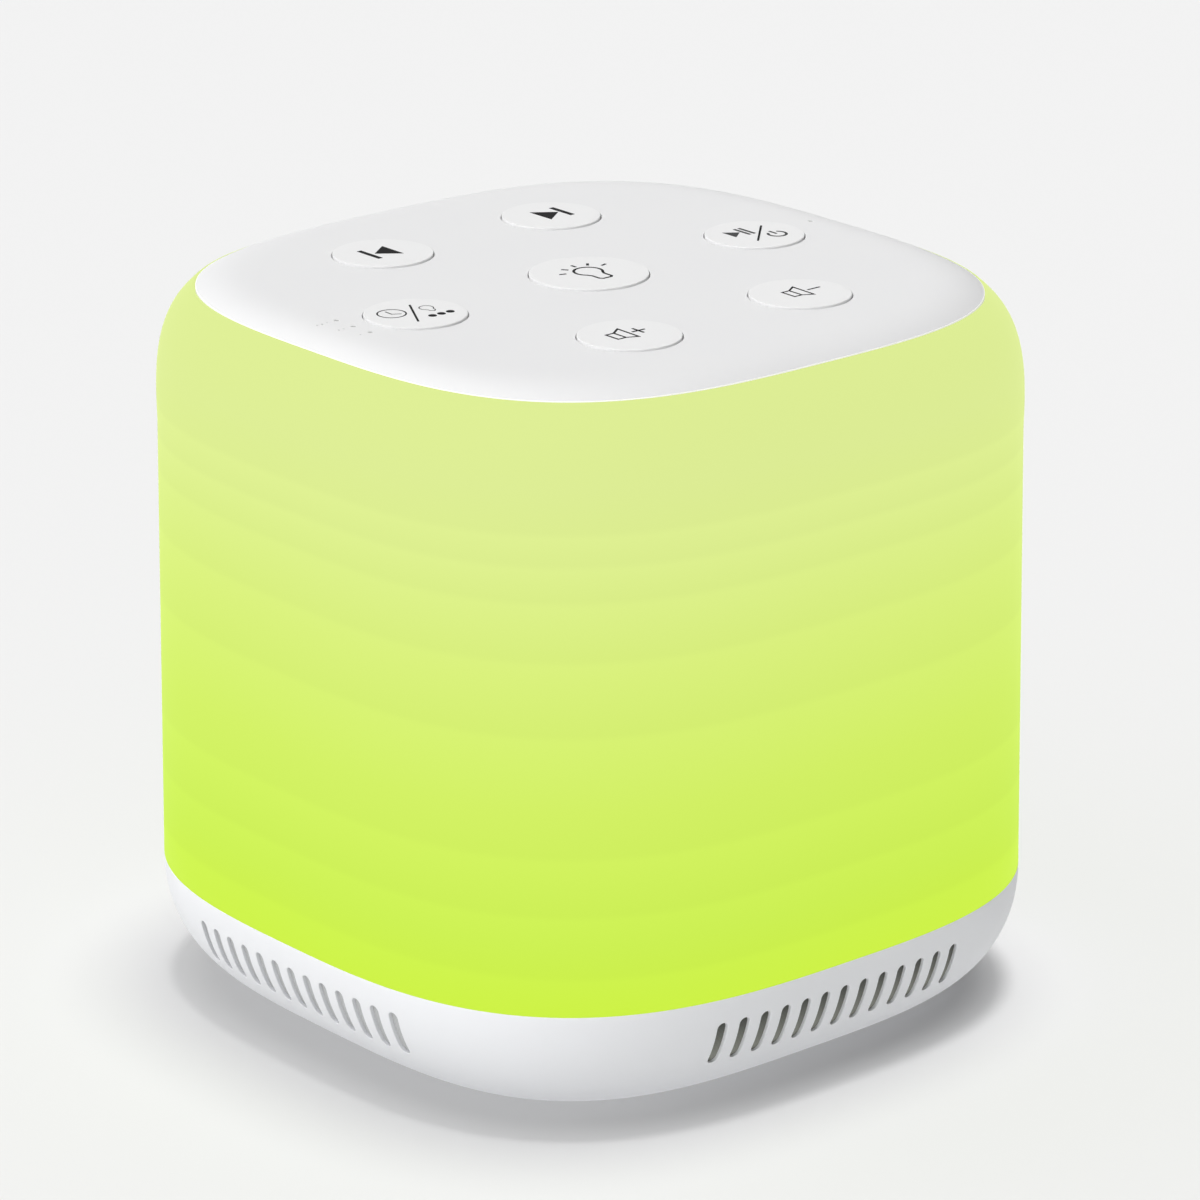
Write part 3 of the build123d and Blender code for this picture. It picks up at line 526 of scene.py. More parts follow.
# A profile of radii and heights, turned round an upright axis. A radius of nought is a pole.
def turnedProfile(radii, heights, x, y, sides, closed=False):
    turn = np.linspace(0, 2 * np.pi, sides, endpoint=False)[None, :]
    radii = np.maximum(np.asarray(radii, float), 1e-4)[:, None]
    z = np.broadcast_to(np.asarray(heights, float)[:, None], (len(radii), sides))
    points = np.stack([x + radii * np.cos(turn), y + radii * np.sin(turn), z], axis=-1)
    return points, gridFaces(len(radii), sides, closedRows=closed)


# a closed tube about an upright axis
def tube(inner, outer, low, high, x, y, sides):
    return turnedProfile([inner, outer, outer, inner], [low, low, high, high], x, y, sides, closed=True)


def buildBase():
    s, f = baseSettings, form
    zoneLow, zoneHigh = s["zoneLow"], s["chassisZ"]
    zoneZ = np.linspace(zoneLow, zoneHigh, s["slotRows"] + 1)
    # outer skin: underside, the round up to the slot zone, the zone's rows, then up to the seam
    lowest = math.asin((f["roundZ"] - zoneLow) / f["baseRise"])
    lowSizes, lowHeights = baseCurve(np.linspace(np.pi / 2, lowest, s["roundRows"]))
    topZ = np.linspace(zoneHigh, f["seamZ"] - s["seamRound"], s["topRows"])[1:]
    lipUp, lipOut = roundedEdge(s["seamRound"])
    tongueTop = f["seamZ"] + s["tongueRise"]
    # inner skin: down to the shelf that carries the cover
    inFloor = f["floorZ"] + f["wall"]
    shelfTop, shelfIn = inFloor + s["shelfRise"], s["coverHalf"] - s["shelf"]
    innerLow = np.linspace(zoneLow, inFloor + s["shelfGap"], s["innerRows"])[1:]
    innerLow = innerLow[innerLow > shelfTop]
    stretches = [
        ([s["coverHalf"], (s["coverHalf"] + f["baseFlat"]) / 2], [f["floorZ"]] * 2),
        (lowSizes[:-1], lowHeights[:-1]),
        (baseSize(zoneZ), zoneZ),
        (baseSize(topZ), topZ),
        (f["seamHalf"] - lipOut, f["seamZ"] - lipUp),
        ([s["tongueHalf"]] * 2 + [s["rimHalf"]] * 2, [f["seamZ"], tongueTop, tongueTop, zoneHigh]),
        (baseSize(zoneZ[::-1], f["wall"]), zoneZ[::-1]),
        (baseSize(innerLow, f["wall"]), innerLow),
        ([float(baseSize(shelfTop, f["wall"])), shelfIn, shelfIn, s["coverHalf"]],
         [shelfTop, shelfTop, inFloor, inFloor]),
    ]
    points, cells = carried(*profileOf(*stretches))
    # on both skins the slot zone's rows make way for cells with holes
    starts = np.cumsum([0] + [len(part[0]) for part in stretches])
    keep = np.ones(cells.shape[:2], bool)
    parts = []
    per, count = ringSettings["perPitch"], ringSettings["slots"]
    edges = np.linspace(-slotZone, slotZone, per * count + 1)
    for quarter in range(4):
        first = quarter * points.shape[1] // 4 + ringSettings["corner"] - 1
        for row in (starts[2], starts[6]):
            keep[row:row + s["slotRows"], first:first + per * count] = False
        pockets = [(0, per * count)]
        made = []
        if quarter == 2:
            low, high = (per * count // 2 + way * s["inletReach"] for way in (-1, 1))
            pockets = [(0, low), (high, per * count)]
            hole = (0.0, s["inletZ"] - s["inletHeight"] / 2, s["inletZ"] + s["inletHeight"] / 2,
                    s["inletWidth"], False)
            made.append(holedCell(edges[low:high + 1], zoneZ, hole, s["inletRound"], f["wall"]))
        for start, end in pockets:
            made.append(cellSide(edges[start:end + 1], zoneZ, (f["wall"], s["pocketWall"])))
            for k in range(count):
                left, right = max(k * per, start), min((k + 1) * per, end)
                if right - left < per - 1:
                    continue
                x = (k - count // 2) * ringSettings["pitch"]
                hole = (x, s["slotLow"], s["slotHigh"], s["slotWidth"], True)
                made.append(holedCell(edges[left:right + 1], zoneZ, hole, s["slotRound"], s["pocketWall"]))
        parts += [(turnedBy(grid, quarter), quads) for grid, quads in made]
    # ribs that carry the chassis, and the posts of the inlet's board
    power = f["powers"][1]
    reach = s["rimHalf"] * 2 ** (0.5 - 1 / power) - s["ribReach"]
    wallSize = float(baseSize(f["floorZ"] + s["ribRise"], s["ribSink"]))
    for middle in (45, 135, 225, 315):
        for turn in np.radians((middle - s["ribSpread"], middle + s["ribSpread"])):
            away = np.array([math.cos(turn), math.sin(turn)])
            wall = wallSize * np.sum(np.abs(away) ** power) ** (-1 / power)
            parts.append(uprightBar(away * reach, away * wall, s["ribWall"], shelfTop - s["footSink"],
                                    zoneHigh))
    boardLow, boardHigh = boxOf("inlet_board")
    for x in (-s["postX"], s["postX"]):
        parts.append(tube(s["postHole"], s["postRadius"], f["floorZ"] + f["wall"] / 2, boardLow[2],
                          x, (boardLow[1] + boardHigh[1]) / 2, s["postSides"]))
    piece = makePiece("baseShell", [(points, cells[keep])] + parts, baseWhite,
                      replaces=("base_shell",))
    # painted shade: the slots' walls on the -X side get a darker white, standing in for the shade in their
    # recess
    centres = faceCentres(piece)
    depth = baseSize(centres[:, 2]) - squircleSize(centres, planPower(centres[:, 2]))
    shadedSlotWall = (depth > s["slotRound"]) & (depth < s["pocketWall"] - s["slotSpare"])
    shadedSlotWall &= (centres[:, 0] < s["paintedShadeBeyond"]) & (centres[:, 2] > zoneLow) & (centres[:, 2] < zoneHigh)
    secondMaterial(piece, slotPaintedShade, shadedSlotWall)


buildBase()
print("stage: base")

# cloth behind the slots
clothSettings = dict(front=0.46, back=0.86, inset=0.15, pitch=0.54)
# the pale tone is painted light on the -X strip; the other two are painted shade, the last towards the top
clothLook = dict(litSideTone=(199, 200, 201), shadedTone=(163, 164, 155), shadedTopTone=(88, 90, 86),
                 litSideFrom=-40.0, litSideTo=-44.0, thread=0.42, threadShade=0.9, roughness=0.95,
                 specular=0.0, bump=0.4, bumpDepth=0.00006)


# Woven cloth: two sets of crossing threads, sine waves of the height and of the distance along
# the side. Painted light and shade: the strip on the -X side is pale as if lit, and the others
# are darker, with painted shade growing towards the top.
def clothMaterial():
    look, s = clothLook, baseSettings
    material, tree, shader = newMaterial("wovenCloth")
    place = addNode(tree, "SeparateXYZ", objectPlace(tree)).outputs
    along = mathStep(tree, "ADD", place["X"], place["Y"])
    turns = 2 * math.pi / (look["thread"] * mm)
    waves = [mathStep(tree, "SINE", mathStep(tree, "MULTIPLY", way, turns)) for way in (place["Z"], along)]
    weave = mathStep(tree, "MULTIPLY", *waves)
    # painted light and shade: pale on the -X side, elsewhere darker towards the top of the slots
    onLitSide = mapRange(tree, place["X"], look["litSideFrom"] * mm, look["litSideTo"] * mm)
    height = mapRange(tree, place["Z"], s["slotLow"] * mm, s["slotHigh"] * mm)
    shadedByHeight = mixColour(tree, height, srgb(*look["shadedTone"]), srgb(*look["shadedTopTone"]))
    tone = mixColour(tree, onLitSide, shadedByHeight, srgb(*look["litSideTone"]))
    thread = mapRange(tree, weave, -1.0, 1.0, look["threadShade"])
    shaded = addNode(tree, "VectorMath", tone, operation="SCALE", inputs={"Scale": thread})
    setInputs(tree, shader, {
        "Base Color": shaded.outputs["Vector"], "Normal": bumpNormal(tree, look, weave),
        "Roughness": look["roughness"], "Specular IOR Level": look["specular"]})
    return material


# a strip that follows the wall at two depths, closed round its border
def clothStrip(xs, zs):
    depths = clothSettings["front"], clothSettings["back"]
    x, z = np.meshgrid(xs, zs)
    quads = gridFaces(len(zs), len(xs), closedColumns=False)
    faces = [(np.stack([x, -baseFront(x, z, depth), z], axis=-1), quads) for depth in depths]
    return faces + [cellSide(xs, zs, depths)]


def buildCloth():
    s, inset = baseSettings, clothSettings["inset"]
    inlet = s["inletReach"] * ringSettings["pitch"] / ringSettings["perPitch"] + inset
    zs = np.linspace(s["zoneLow"] + inset, s["chassisZ"] - inset, s["slotRows"] + 1)
    end = slotZone - inset
    parts = []
    for quarter in range(4):
        spans = [(-end, -inlet), (inlet, end)] if quarter == 2 else [(-end, end)]
        for low, high in spans:
            strip = clothStrip(np.linspace(low, high, int((high - low) / clothSettings["pitch"])), zs)
            parts += [(turnedBy(points, quarter), quads) for points, quads in strip]
    makePiece("slotCloth", parts, clothMaterial(), replaces=("slot_cloth",))


buildCloth()
print("stage: cloth")


# shade
shadeSettings = dict(ledgeUnder=89.37, ledgeSeat=90.97, ledgeInset=2.6, ledgeGap=0.05, footRound=0.02,
                     lipRound=0.06, lipRise=0.13, lipReach=1.3, lipFine=0.9, innerStart=1.0,
                     shoulderRows=22, lipRows=9, wallRows=14, innerRows=14, ledgeSteps=60)


def buildShade():
    s, f = shadeSettings, form
    lip = float(shoulderAngle(f["capHalf"] + s["lipRound"]))
    fine = lip * s["lipFine"]
    angles = np.append(np.linspace(0, fine, s["shoulderRows"]), np.linspace(fine, lip, s["lipRows"])[1:])
    upSizes, upHeights = shoulderCurve(angles)
    # a slight bead along the lip
    rise = np.clip(1 - (upSizes - upSizes[-1]) / s["lipReach"], 0, 1)
    upHeights = upHeights + s["lipRise"] * rise * rise * (3 - 2 * rise)
    lipOut, lipDown = roundedEdge(s["lipRound"])
    innerStart = float(shoulderAngle(f["capHalf"] + s["innerStart"], f["wall"]))
    inSizes, inHeights = shoulderCurve(np.linspace(innerStart, 0, s["innerRows"]), f["wall"])
    below = inHeights < s["ledgeUnder"] - s["ledgeGap"]
    mouth = f["capHalf"] - s["ledgeInset"]
    fineSizes, fineHeights = shoulderCurve(np.linspace(0, innerStart, s["ledgeSteps"]), f["wall"])
    ledgeSize = float(np.interp(s["ledgeUnder"], fineHeights, fineSizes))
    wallZ = np.linspace(f["seamZ"] + s["footRound"], f["shoulderZ"], s["wallRows"])[:-1]
    wallShare = (wallZ - f["seamZ"]) / (f["shoulderZ"] - f["seamZ"])
    profile = profileOf(
        ([f["seamHalf"] - f["wall"], f["seamHalf"] - s["footRound"]], [f["seamZ"]] * 2),
        (f["seamHalf"] + (f["shoulderHalf"] - f["seamHalf"]) * wallShare, wallZ),
        (upSizes, upHeights),
        (f["capHalf"] + lipOut, upHeights[-1] - lipDown),
        ([f["capHalf"], mouth, mouth, ledgeSize], [s["ledgeSeat"]] * 2 + [s["ledgeUnder"]] * 2),
        (inSizes[below], inHeights[below]))
    makePiece("shadeShell", [carried(*profile)], shadeGlow, sharp=50,
              replaces=("shade",))


buildShade()
print("stage: shade")


# keys
keySettings = dict(gap=0.18, edge=0.05, flange=0.8, flangeRise=0.7, flangeWall=1.2, skin=1.3, stem=1.5,
                   stemWall=0.6, ringStep=0.4, capRound=0.05, underWall=2.0, lugWidth=1.6, lugReach=0.8,
                   lugSink=0.4, innerRing=0.5, edgeRows=7, sides=96)
allKeys = ("play", "next", "previous", "timer", "louder", "softer", "light")


# a key's centre, radius, foot and top; its lug lies on +Y, so the radius is read from X
def keyPlace(name):
    low, high = boxOf("plunger_" + name)
    keyLow, keyHigh = boxOf("key_" + name)
    centre = (low + high) / 2
    radius = (keyHigh[0] - keyLow[0]) / 2 - keySettings["flange"]
    return centre[0], centre[1], radius, keyLow[2], keyHigh[2]


# a cap with a rounded edge, a flange that keeps it in, and a stem inside for the plunger
def buildKey(name):
    s = keySettings
    x, y, radius, low, top = keyPlace(name)
    flangeLow = low + s["flangeRise"]
    flangeTop = flangeLow + s["flangeWall"]
    edge = np.radians(np.linspace(0, 90, s["edgeRows"]))[1:]
    flat, out, inside = radius - s["edge"], radius + s["flange"], radius - s["skin"]
    foot, hollow = s["stem"] + s["stemWall"], top - s["skin"]
    profile = profileOf(
        ([0, radius * s["innerRing"], flat - s["ringStep"], flat], [top] * 4),
        (flat + s["edge"] * np.sin(edge), top - s["edge"] * (1 - np.cos(edge))),
        ([radius, out, out, inside, inside, foot, foot, s["stem"], s["stem"], 0],
         [flangeTop, flangeTop, flangeLow, flangeLow, hollow, hollow, flangeLow, flangeLow, low, low]))
    lug = uprightBar((x, y + radius - s["lugSink"]), (x, y + out + s["lugReach"]), s["lugWidth"],
                     flangeLow, flangeTop)
    makePiece("key-" + name, [turnedProfile(*profile, x, y, s["sides"]), lug], keyWhite,
              body="body_" + name, replaces=("key_" + name,))


for keyName in allKeys:
    buildKey(keyName)
print("stage: keys")


# cap
capSettings = dict(edgeRound=0.06, rimWall=1.6, rimReach=0.03, rimRise=0.1,
                   plateSize=40.0, plateRings=(36.6, 37.3, 38.0, 38.7, 39.4), plateGap=0.15,
                   holeBand=0.5, holeSides=96, pinHole=0.33, pinRound=0.03, pinBand=0.15, pinSides=20,
                   holeSpare=0.001, collarRise=1.9, collarWall=0.8, collarGap=1.1, footSink=0.4,
                   bossRadius=2.75, bossHole=1.25, bossCircle=30.0, bossAngles=(30, 150, 210, 330),
                   topRows=16, underRows=10, bevelRows=5, collarSides=64, bossSides=32,
                   pinApart=1.0, heightSteps=700)
# tone and strength of the painted light on the cap's rim
rimPaintedLightLook = dict(tone=(250, 250, 242), glow=0.4)


# the cap's white plastic with a painted glow, standing in for the shade's light on the rim: painted light
def paintedRimLightMaterial():
    material = mouldedPlastic("capRimPaintedLight", outerLooks["capWhite"])
    setInputs(material.node_tree, material.node_tree.nodes["Principled BSDF"], {
        "Emission Color": srgb(*rimPaintedLightLook["tone"]), "Emission Strength": rimPaintedLightLook["glow"]})
    return material


# centres of the four indicator pins: three beside the timer key and one beside the play key
def pinPlaces():
    vertices = np.zeros(len(nodes["light_pipes"].data.vertices) * 3)
    nodes["light_pipes"].data.vertices.foreach_get("co", vertices)
    points = vertices.reshape(-1, 3)[:, :2] / mm
    centres = []
    while len(points):
        near = np.hypot(*(points - points[0]).T) < capSettings["pinApart"]
        centres.append((points[near].min(axis=0) + points[near].max(axis=0)) / 2)
        points = points[~near]
    return centres


# the shoulder's curve between two of its sizes
def shoulderSpan(first, last, count, depth=0.0):
    angles = np.linspace(shoulderAngle(first, depth), shoulderAngle(last, depth), count)
    return shoulderCurve(angles, depth)


# the cap's height at a point: its shoulder's height at the size of the squircle through it
def capHeight(points, depth):
    s = capSettings
    sizes, heights = shoulderCurve(np.radians(np.linspace(90, 20, s["heightSteps"])), depth)
    power = planPower(np.interp(s["plateSize"], sizes, heights))
    return np.interp(squircleSize(points, power), sizes, heights)


# The cap between a ring of its rim and its holes, as triangles on the height above. Loose points
# on smaller squircles carry the start of the curve.
def plateWithHoles(outline, circles, depth):
    s = capSettings
    points = [Vector(p[:2]) for p in outline]
    edges = [(i, (i + 1) % len(outline)) for i in range(len(outline))]
    for x, y, radius, sides in circles:
        start = len(points)
        turn = np.linspace(0, 2 * np.pi, sides, endpoint=False)
        points += [Vector((x + radius * math.cos(t), y + radius * math.sin(t))) for t in turn]
        edges += [(start + i, start + (i + 1) % sides) for i in range(sides)]
    loose = np.stack(ringPoints(s["plateRings"], form["powers"][3]), axis=-1).reshape(-1, 2)
    for x, y, radius, _ in circles:
        loose = loose[np.hypot(*(loose - (x, y)).T) > radius + s["plateGap"]]
    points += [Vector(p) for p in loose]
    flat, _, triangles, *_ = delaunay_2d_cdt(points, edges, [], 1, 1e-5)
    flat = np.array([tuple(p) for p in flat])
    triangles = np.array([t for t in triangles if len(t) == 3])
    middle = flat[triangles].mean(axis=1)
    keep = np.ones(len(triangles), bool)
    for x, y, radius, sides in circles:
        keep &= np.hypot(*(middle - (x, y)).T) > radius * math.cos(math.pi / sides) - s["holeSpare"]
    return np.column_stack([flat, capHeight(flat, depth)]), triangles[keep]


def buildCap():
    s, k, f = capSettings, keySettings, form
    edgeSize = f["capHalf"] - f["capGap"]
    innerSize = edgeSize - s["rimWall"]
    seat, under = shadeSettings["ledgeSeat"], f["topZ"] - k["underWall"]
    upSizes, upHeights = shoulderSpan(edgeSize - s["edgeRound"], s["plateSize"], s["topRows"])
    downSizes, downHeights = shoulderSpan(s["plateSize"], innerSize, s["underRows"], f["wall"])
    bevelUp, bevelOut = roundedEdge(s["edgeRound"], np.linspace(0, 90, s["bevelRows"])[:-1])
    outer = carried(*profileOf(([innerSize, edgeSize], [seat, seat]),
                               (edgeSize - bevelOut, upHeights[0] - bevelUp),
                               (upSizes, upHeights)), closed=False)
    inner = carried(np.append(downSizes, innerSize), np.append(downHeights, seat), closed=False)
    openings = [(*keyPlace(name)[:2], keyPlace(name)[2] + k["gap"], k["capRound"], s["holeBand"],
                 s["holeSides"]) for name in allKeys]
    openings += [(x, y, s["pinHole"], s["pinRound"], s["pinBand"], s["pinSides"]) for x, y in pinPlaces()]
    turn = np.radians((0, 30, 60, 90))
    upper, lower, parts = [], [], [outer, inner]
    for x, y, bore, edge, band, sides in openings:
        ring = bore + edge
        profile = profileOf(([ring + band], [f["topZ"]]),
                            (ring - edge * np.sin(turn), f["topZ"] - edge * (1 - np.cos(turn))),
                            ([bore, bore + band], [under, under]))
        grid, quads = turnedProfile(*profile, x, y, sides)
        onTop = grid[..., 2] - (f["topZ"] - capHeight(grid, 0.0))
        grid[..., 2] = np.where(grid[..., 2] > under, onTop, capHeight(grid, f["wall"]))
        parts.append((grid, quads))
        upper.append((x, y, ring + band, sides))
        lower.append((x, y, bore + band, sides))
    parts += [plateWithHoles(outer[0][-1], upper, 0.0), plateWithHoles(inner[0][0], lower, f["wall"])]
    # collars that guide the keys' flanges, and the bosses of the key board
    inCap = under + s["footSink"]
    for name in allKeys:
        x, y, radius = keyPlace(name)[:3]
        sleeve = radius + s["collarGap"]
        parts.append(tube(sleeve, sleeve + s["collarWall"], under - s["collarRise"], inCap, x, y,
                          s["collarSides"]))
    foot = boxOf("key_board")[1][2]
    for angle in np.radians(s["bossAngles"]):
        x, y = s["bossCircle"] * math.cos(angle), s["bossCircle"] * math.sin(angle)
        parts.append(tube(s["bossHole"], s["bossRadius"], foot, inCap, x, y, s["bossSides"]))
    piece = makePiece("topCap", parts, capWhite, replaces=("top_cap",))
    # painted light: the rim beside the shade glows as if lit by it
    centres = faceCentres(piece)
    size = squircleSize(centres, f["powers"][3])
    onLitRim = (centres[:, 2] > seat + s["rimRise"]) & (size > edgeSize - s["edgeRound"] - s["rimReach"])
    secondMaterial(piece, paintedRimLightMaterial(), onLitRim)


buildCap()
print("stage: cap")


# printed symbols: thin closed plates of ink on the keys
inkSettings = dict(proud=0.015, sink=0.02, strokeLift=0.0006, bulbGap=12, bulbStep=0.1, bulbCut=0.35,
                   markRadius=0.13, markAside=1.6, markPitch=0.75, markDrop=0.1,
                   markPoints=16, bulbPoints=26, mitreLeast=0.35)
inkLooks = dict(
    inkBlack=lookOf((16, 16, 17), (22, 22, 23), 0.7, specular=0.1),
    inkGrey=lookOf((66, 67, 67), (74, 75, 75), 0.7, specular=0.1),
    inkFaint=lookOf((214, 214, 214), (218, 218, 218), 0.7, specular=0.1),
)
inkBlack, inkGrey, inkFaint = (mouldedPlastic(name, look) for name, look in inkLooks.items())


# a strip of even width along a path, with mitred corners; gives its two edges
def stripEdges(path, width, closed=False):
    path = np.asarray(path, float)
    before = np.roll(path, 1, axis=0) if closed else np.vstack([2 * path[0] - path[1], path[:-1]])
    after = np.roll(path, -1, axis=0) if closed else np.vstack([path[1:], 2 * path[-1] - path[-2]])
    into, out = path - before, after - path
    into /= np.linalg.norm(into, axis=1, keepdims=True)
    out /= np.linalg.norm(out, axis=1, keepdims=True)
    middle = into + out
    middle /= np.linalg.norm(middle, axis=1, keepdims=True)
    across = np.column_stack([-middle[:, 1], middle[:, 0]])
    stretch = 1 / np.clip(np.abs((middle * out).sum(axis=1)), inkSettings["mitreLeast"], 1)
    offset = across * (width / 2 * stretch)[:, None]
    return path + offset, path - offset


# the strip as a closed slab between two heights
def slabStrip(path, width, low, high, closed=False):
    left, right = stripEdges(path, width, closed)
    rows = [(left, low), (left, high), (right, high), (right, low)]
    points = np.stack([np.column_stack([p, np.full(len(p), z)]) for p, z in rows], axis=1)
    count = len(left)
    cells = gridFaces(count, 4, closedRows=closed).reshape(-1, 4)
    if not closed:
        cells = np.vstack([cells, [[3, 2, 1, 0]], [np.arange(4) + 4 * count - 4]])
    return points.reshape(-1, 3), cells


# a filled outline as a closed slab, fanned from its middle
def slabFill(outline, low, high):
    outline = np.asarray(outline, float)
    n = len(outline)
    middle = outline.mean(axis=0)
    rows = [np.column_stack([outline, np.full(n, z)]) for z in (low, high)]
    points = np.vstack(rows + [[*middle, low], [*middle, high]])
    i = np.arange(n)
    j = (i + 1) % n
    under = np.stack([j, i, np.full(n, 2 * n)], axis=-1)
    top = np.stack([n + i, n + j, np.full(n, 2 * n + 1)], axis=-1)
    wallA = np.stack([i, j, n + j], axis=-1)
    wallB = np.stack([i, n + j, n + i], axis=-1)
    return points, np.vstack([under, top, wallA, wallB])


def arcPath(x, y, radius, start, end, count=28):
    turn = np.radians(np.linspace(start, end, count))
    return np.column_stack([x + radius * np.cos(turn), y + radius * np.sin(turn)])


def circlePath(x, y, radius, count=40):
    return arcPath(x, y, radius, 0, 360 * (1 - 1 / count), count)


# a bulb's outline: a globe that is open at the neck, and a foot with its corners cut
def bulbOutline(x, y, radius, neck, length):
    s = inkSettings
    gap = math.degrees(math.asin(neck / radius)) + s["bulbGap"]
    globe = arcPath(x, y, radius, -90 + gap, 270 - gap, s["bulbPoints"])
    foot, top, cut = y - radius - length, y - radius - s["bulbStep"], s["bulbCut"]
    left = [(x - neck, top), (x - neck, foot + cut), (x - neck + cut, foot)]
    right = [(x + neck - cut, foot), (x + neck, foot + cut), (x + neck, top)]
    return np.vstack([globe, left, right])


def rectangle(left, low, right, high):
    return [(left, low), (right, low), (right, high), (left, high)]


# a short line centred on a point, pointing away from another
def ray(x, y, fromX, fromY, length):
    away = np.array([x - fromX, y - fromY])
    away = away / np.linalg.norm(away) * length / 2
    return [(x - away[0], y - away[1]), (x + away[0], y + away[1])]


def fill(path, ink=inkBlack):
    return "fill", path, 0, ink


def line(path, width, ink=inkBlack):
    return "line", path, width, ink


def loop(path, width, ink=inkBlack):
    return "loop", path, width, ink


# each key's symbol, stroke by stroke, about the key's centre
def symbolStrokes():
    rayPlaces = ((-3.0, 1.55), (-1.5, 2.95), (0.4, 3.5), (2.3, 3.0), (3.8, 1.6))
    return {
        "previous": [
            fill(rectangle(-2.2, -1.9, -1.5, 2.6)),
            fill([(-1.1, 0.3), (1.85, -2.0), (1.85, 2.5)])],
        "next": [
            fill([(-1.35, -1.7), (1.7, 0.55), (-1.35, 2.8)]),
            fill(rectangle(1.9, -1.7, 2.65, 2.75))],
        "play": [
            fill([(-2.8, 0.35), (-0.95, 1.8), (-2.8, 3.2)], inkGrey),
            fill(rectangle(-0.75, 0.2, -0.3, 3.4), inkGrey),
            fill(rectangle(0.05, 0.2, 0.5, 3.4), inkGrey),
            line([(-1.8, -2.7), (3.4, 2.5)], 0.28),
            line(arcPath(2.35, -1.8, 1.2, 125, 415), 0.36, inkGrey),
            line([(2.35, -1.7), (2.35, -0.2)], 0.36, inkGrey)],
        "timer": [
            loop(circlePath(-2.4, 1.7, 1.8), 0.2),
            line([(-2.5, 2.85), (-2.55, 1.5), (-1.5, 0.85)], 0.2, inkGrey),
            line([(-2.0, -3.1), (1.7, 3.3)], 0.28),
            loop(bulbOutline(2.5, 1.0, 0.9, 0.42, 0.75), 0.14, inkGrey)]
        + [fill(circlePath(x, -2.2, 0.55, 24)) for x in (0.95, 2.35, 3.75)],
        "louder": [
            loop(rectangle(-2.35, -0.65, -1.1, 1.7), 0.3),
            line([(-1.1, 1.7), (0.45, 2.8), (0.35, -1.35), (-1.1, -0.65)], 0.3),
            line([(0.95, 0.65), (3.0, 0.65)], 0.34),
            line([(1.95, -0.45), (1.95, 1.8)], 0.34)],
        "softer": [
            loop(rectangle(-1.55, -0.75, -0.35, 1.65), 0.28),
            line([(-0.35, 1.65), (1.15, 2.65), (1.0, -1.5), (-0.35, -0.75)], 0.28),
            line([(1.7, 0.5), (3.8, 0.5)], 0.3)],
        "light": [loop(bulbOutline(0.35, 0.55, 1.85, 0.98, 1.9), 0.36)]
        + [line(ray(x, y, 0.35, 0.5, 0.95), 0.36) for x, y in rayPlaces],
    }


# one, two and three faint dots beside the timer's pins
def buildPinMarks():
    s, top = inkSettings, form["topZ"]
    timerPins = sorted((tuple(pin) for pin in pinPlaces() if pin[0] < 0), key=lambda pin: pin[1])
    parts = []
    for count, (x, y) in enumerate(timerPins, start=1):
        for k in range(count):
            dot = circlePath(x - s["markAside"] - s["markPitch"] * k, y - s["markDrop"],
                             s["markRadius"], s["markPoints"])
            parts.append(slabFill(dot, top - s["sink"], top + s["proud"]))
    makePiece("timerMarks", parts, inkFaint, sharp=30)


# Each stroke stands a hair above the one before, so that no two faces share a plane.
def buildSymbol(name, strokes):
    x, y, _, _, top = keyPlace(name)
    low, high = top - inkSettings["sink"], top + inkSettings["proud"]
    byInk = {}
    for index, (kind, path, width, ink) in enumerate(strokes):
        path = np.asarray(path, float) + (x, y)
        lift = inkSettings["strokeLift"] * index
        if kind == "fill":
            part = slabFill(path, low, high + lift)
        else:
            part = slabStrip(path, width, low, high + lift, closed=kind == "loop")
        byInk.setdefault(ink, []).append(part)
    for ink, parts in byInk.items():
        makePiece("symbol-" + name + "-" + ink.name, parts, ink, body="body_" + name, sharp=30)


for symbolName, strokes in symbolStrokes().items():
    buildSymbol(symbolName, strokes)
buildPinMarks()
print("stage: symbols")

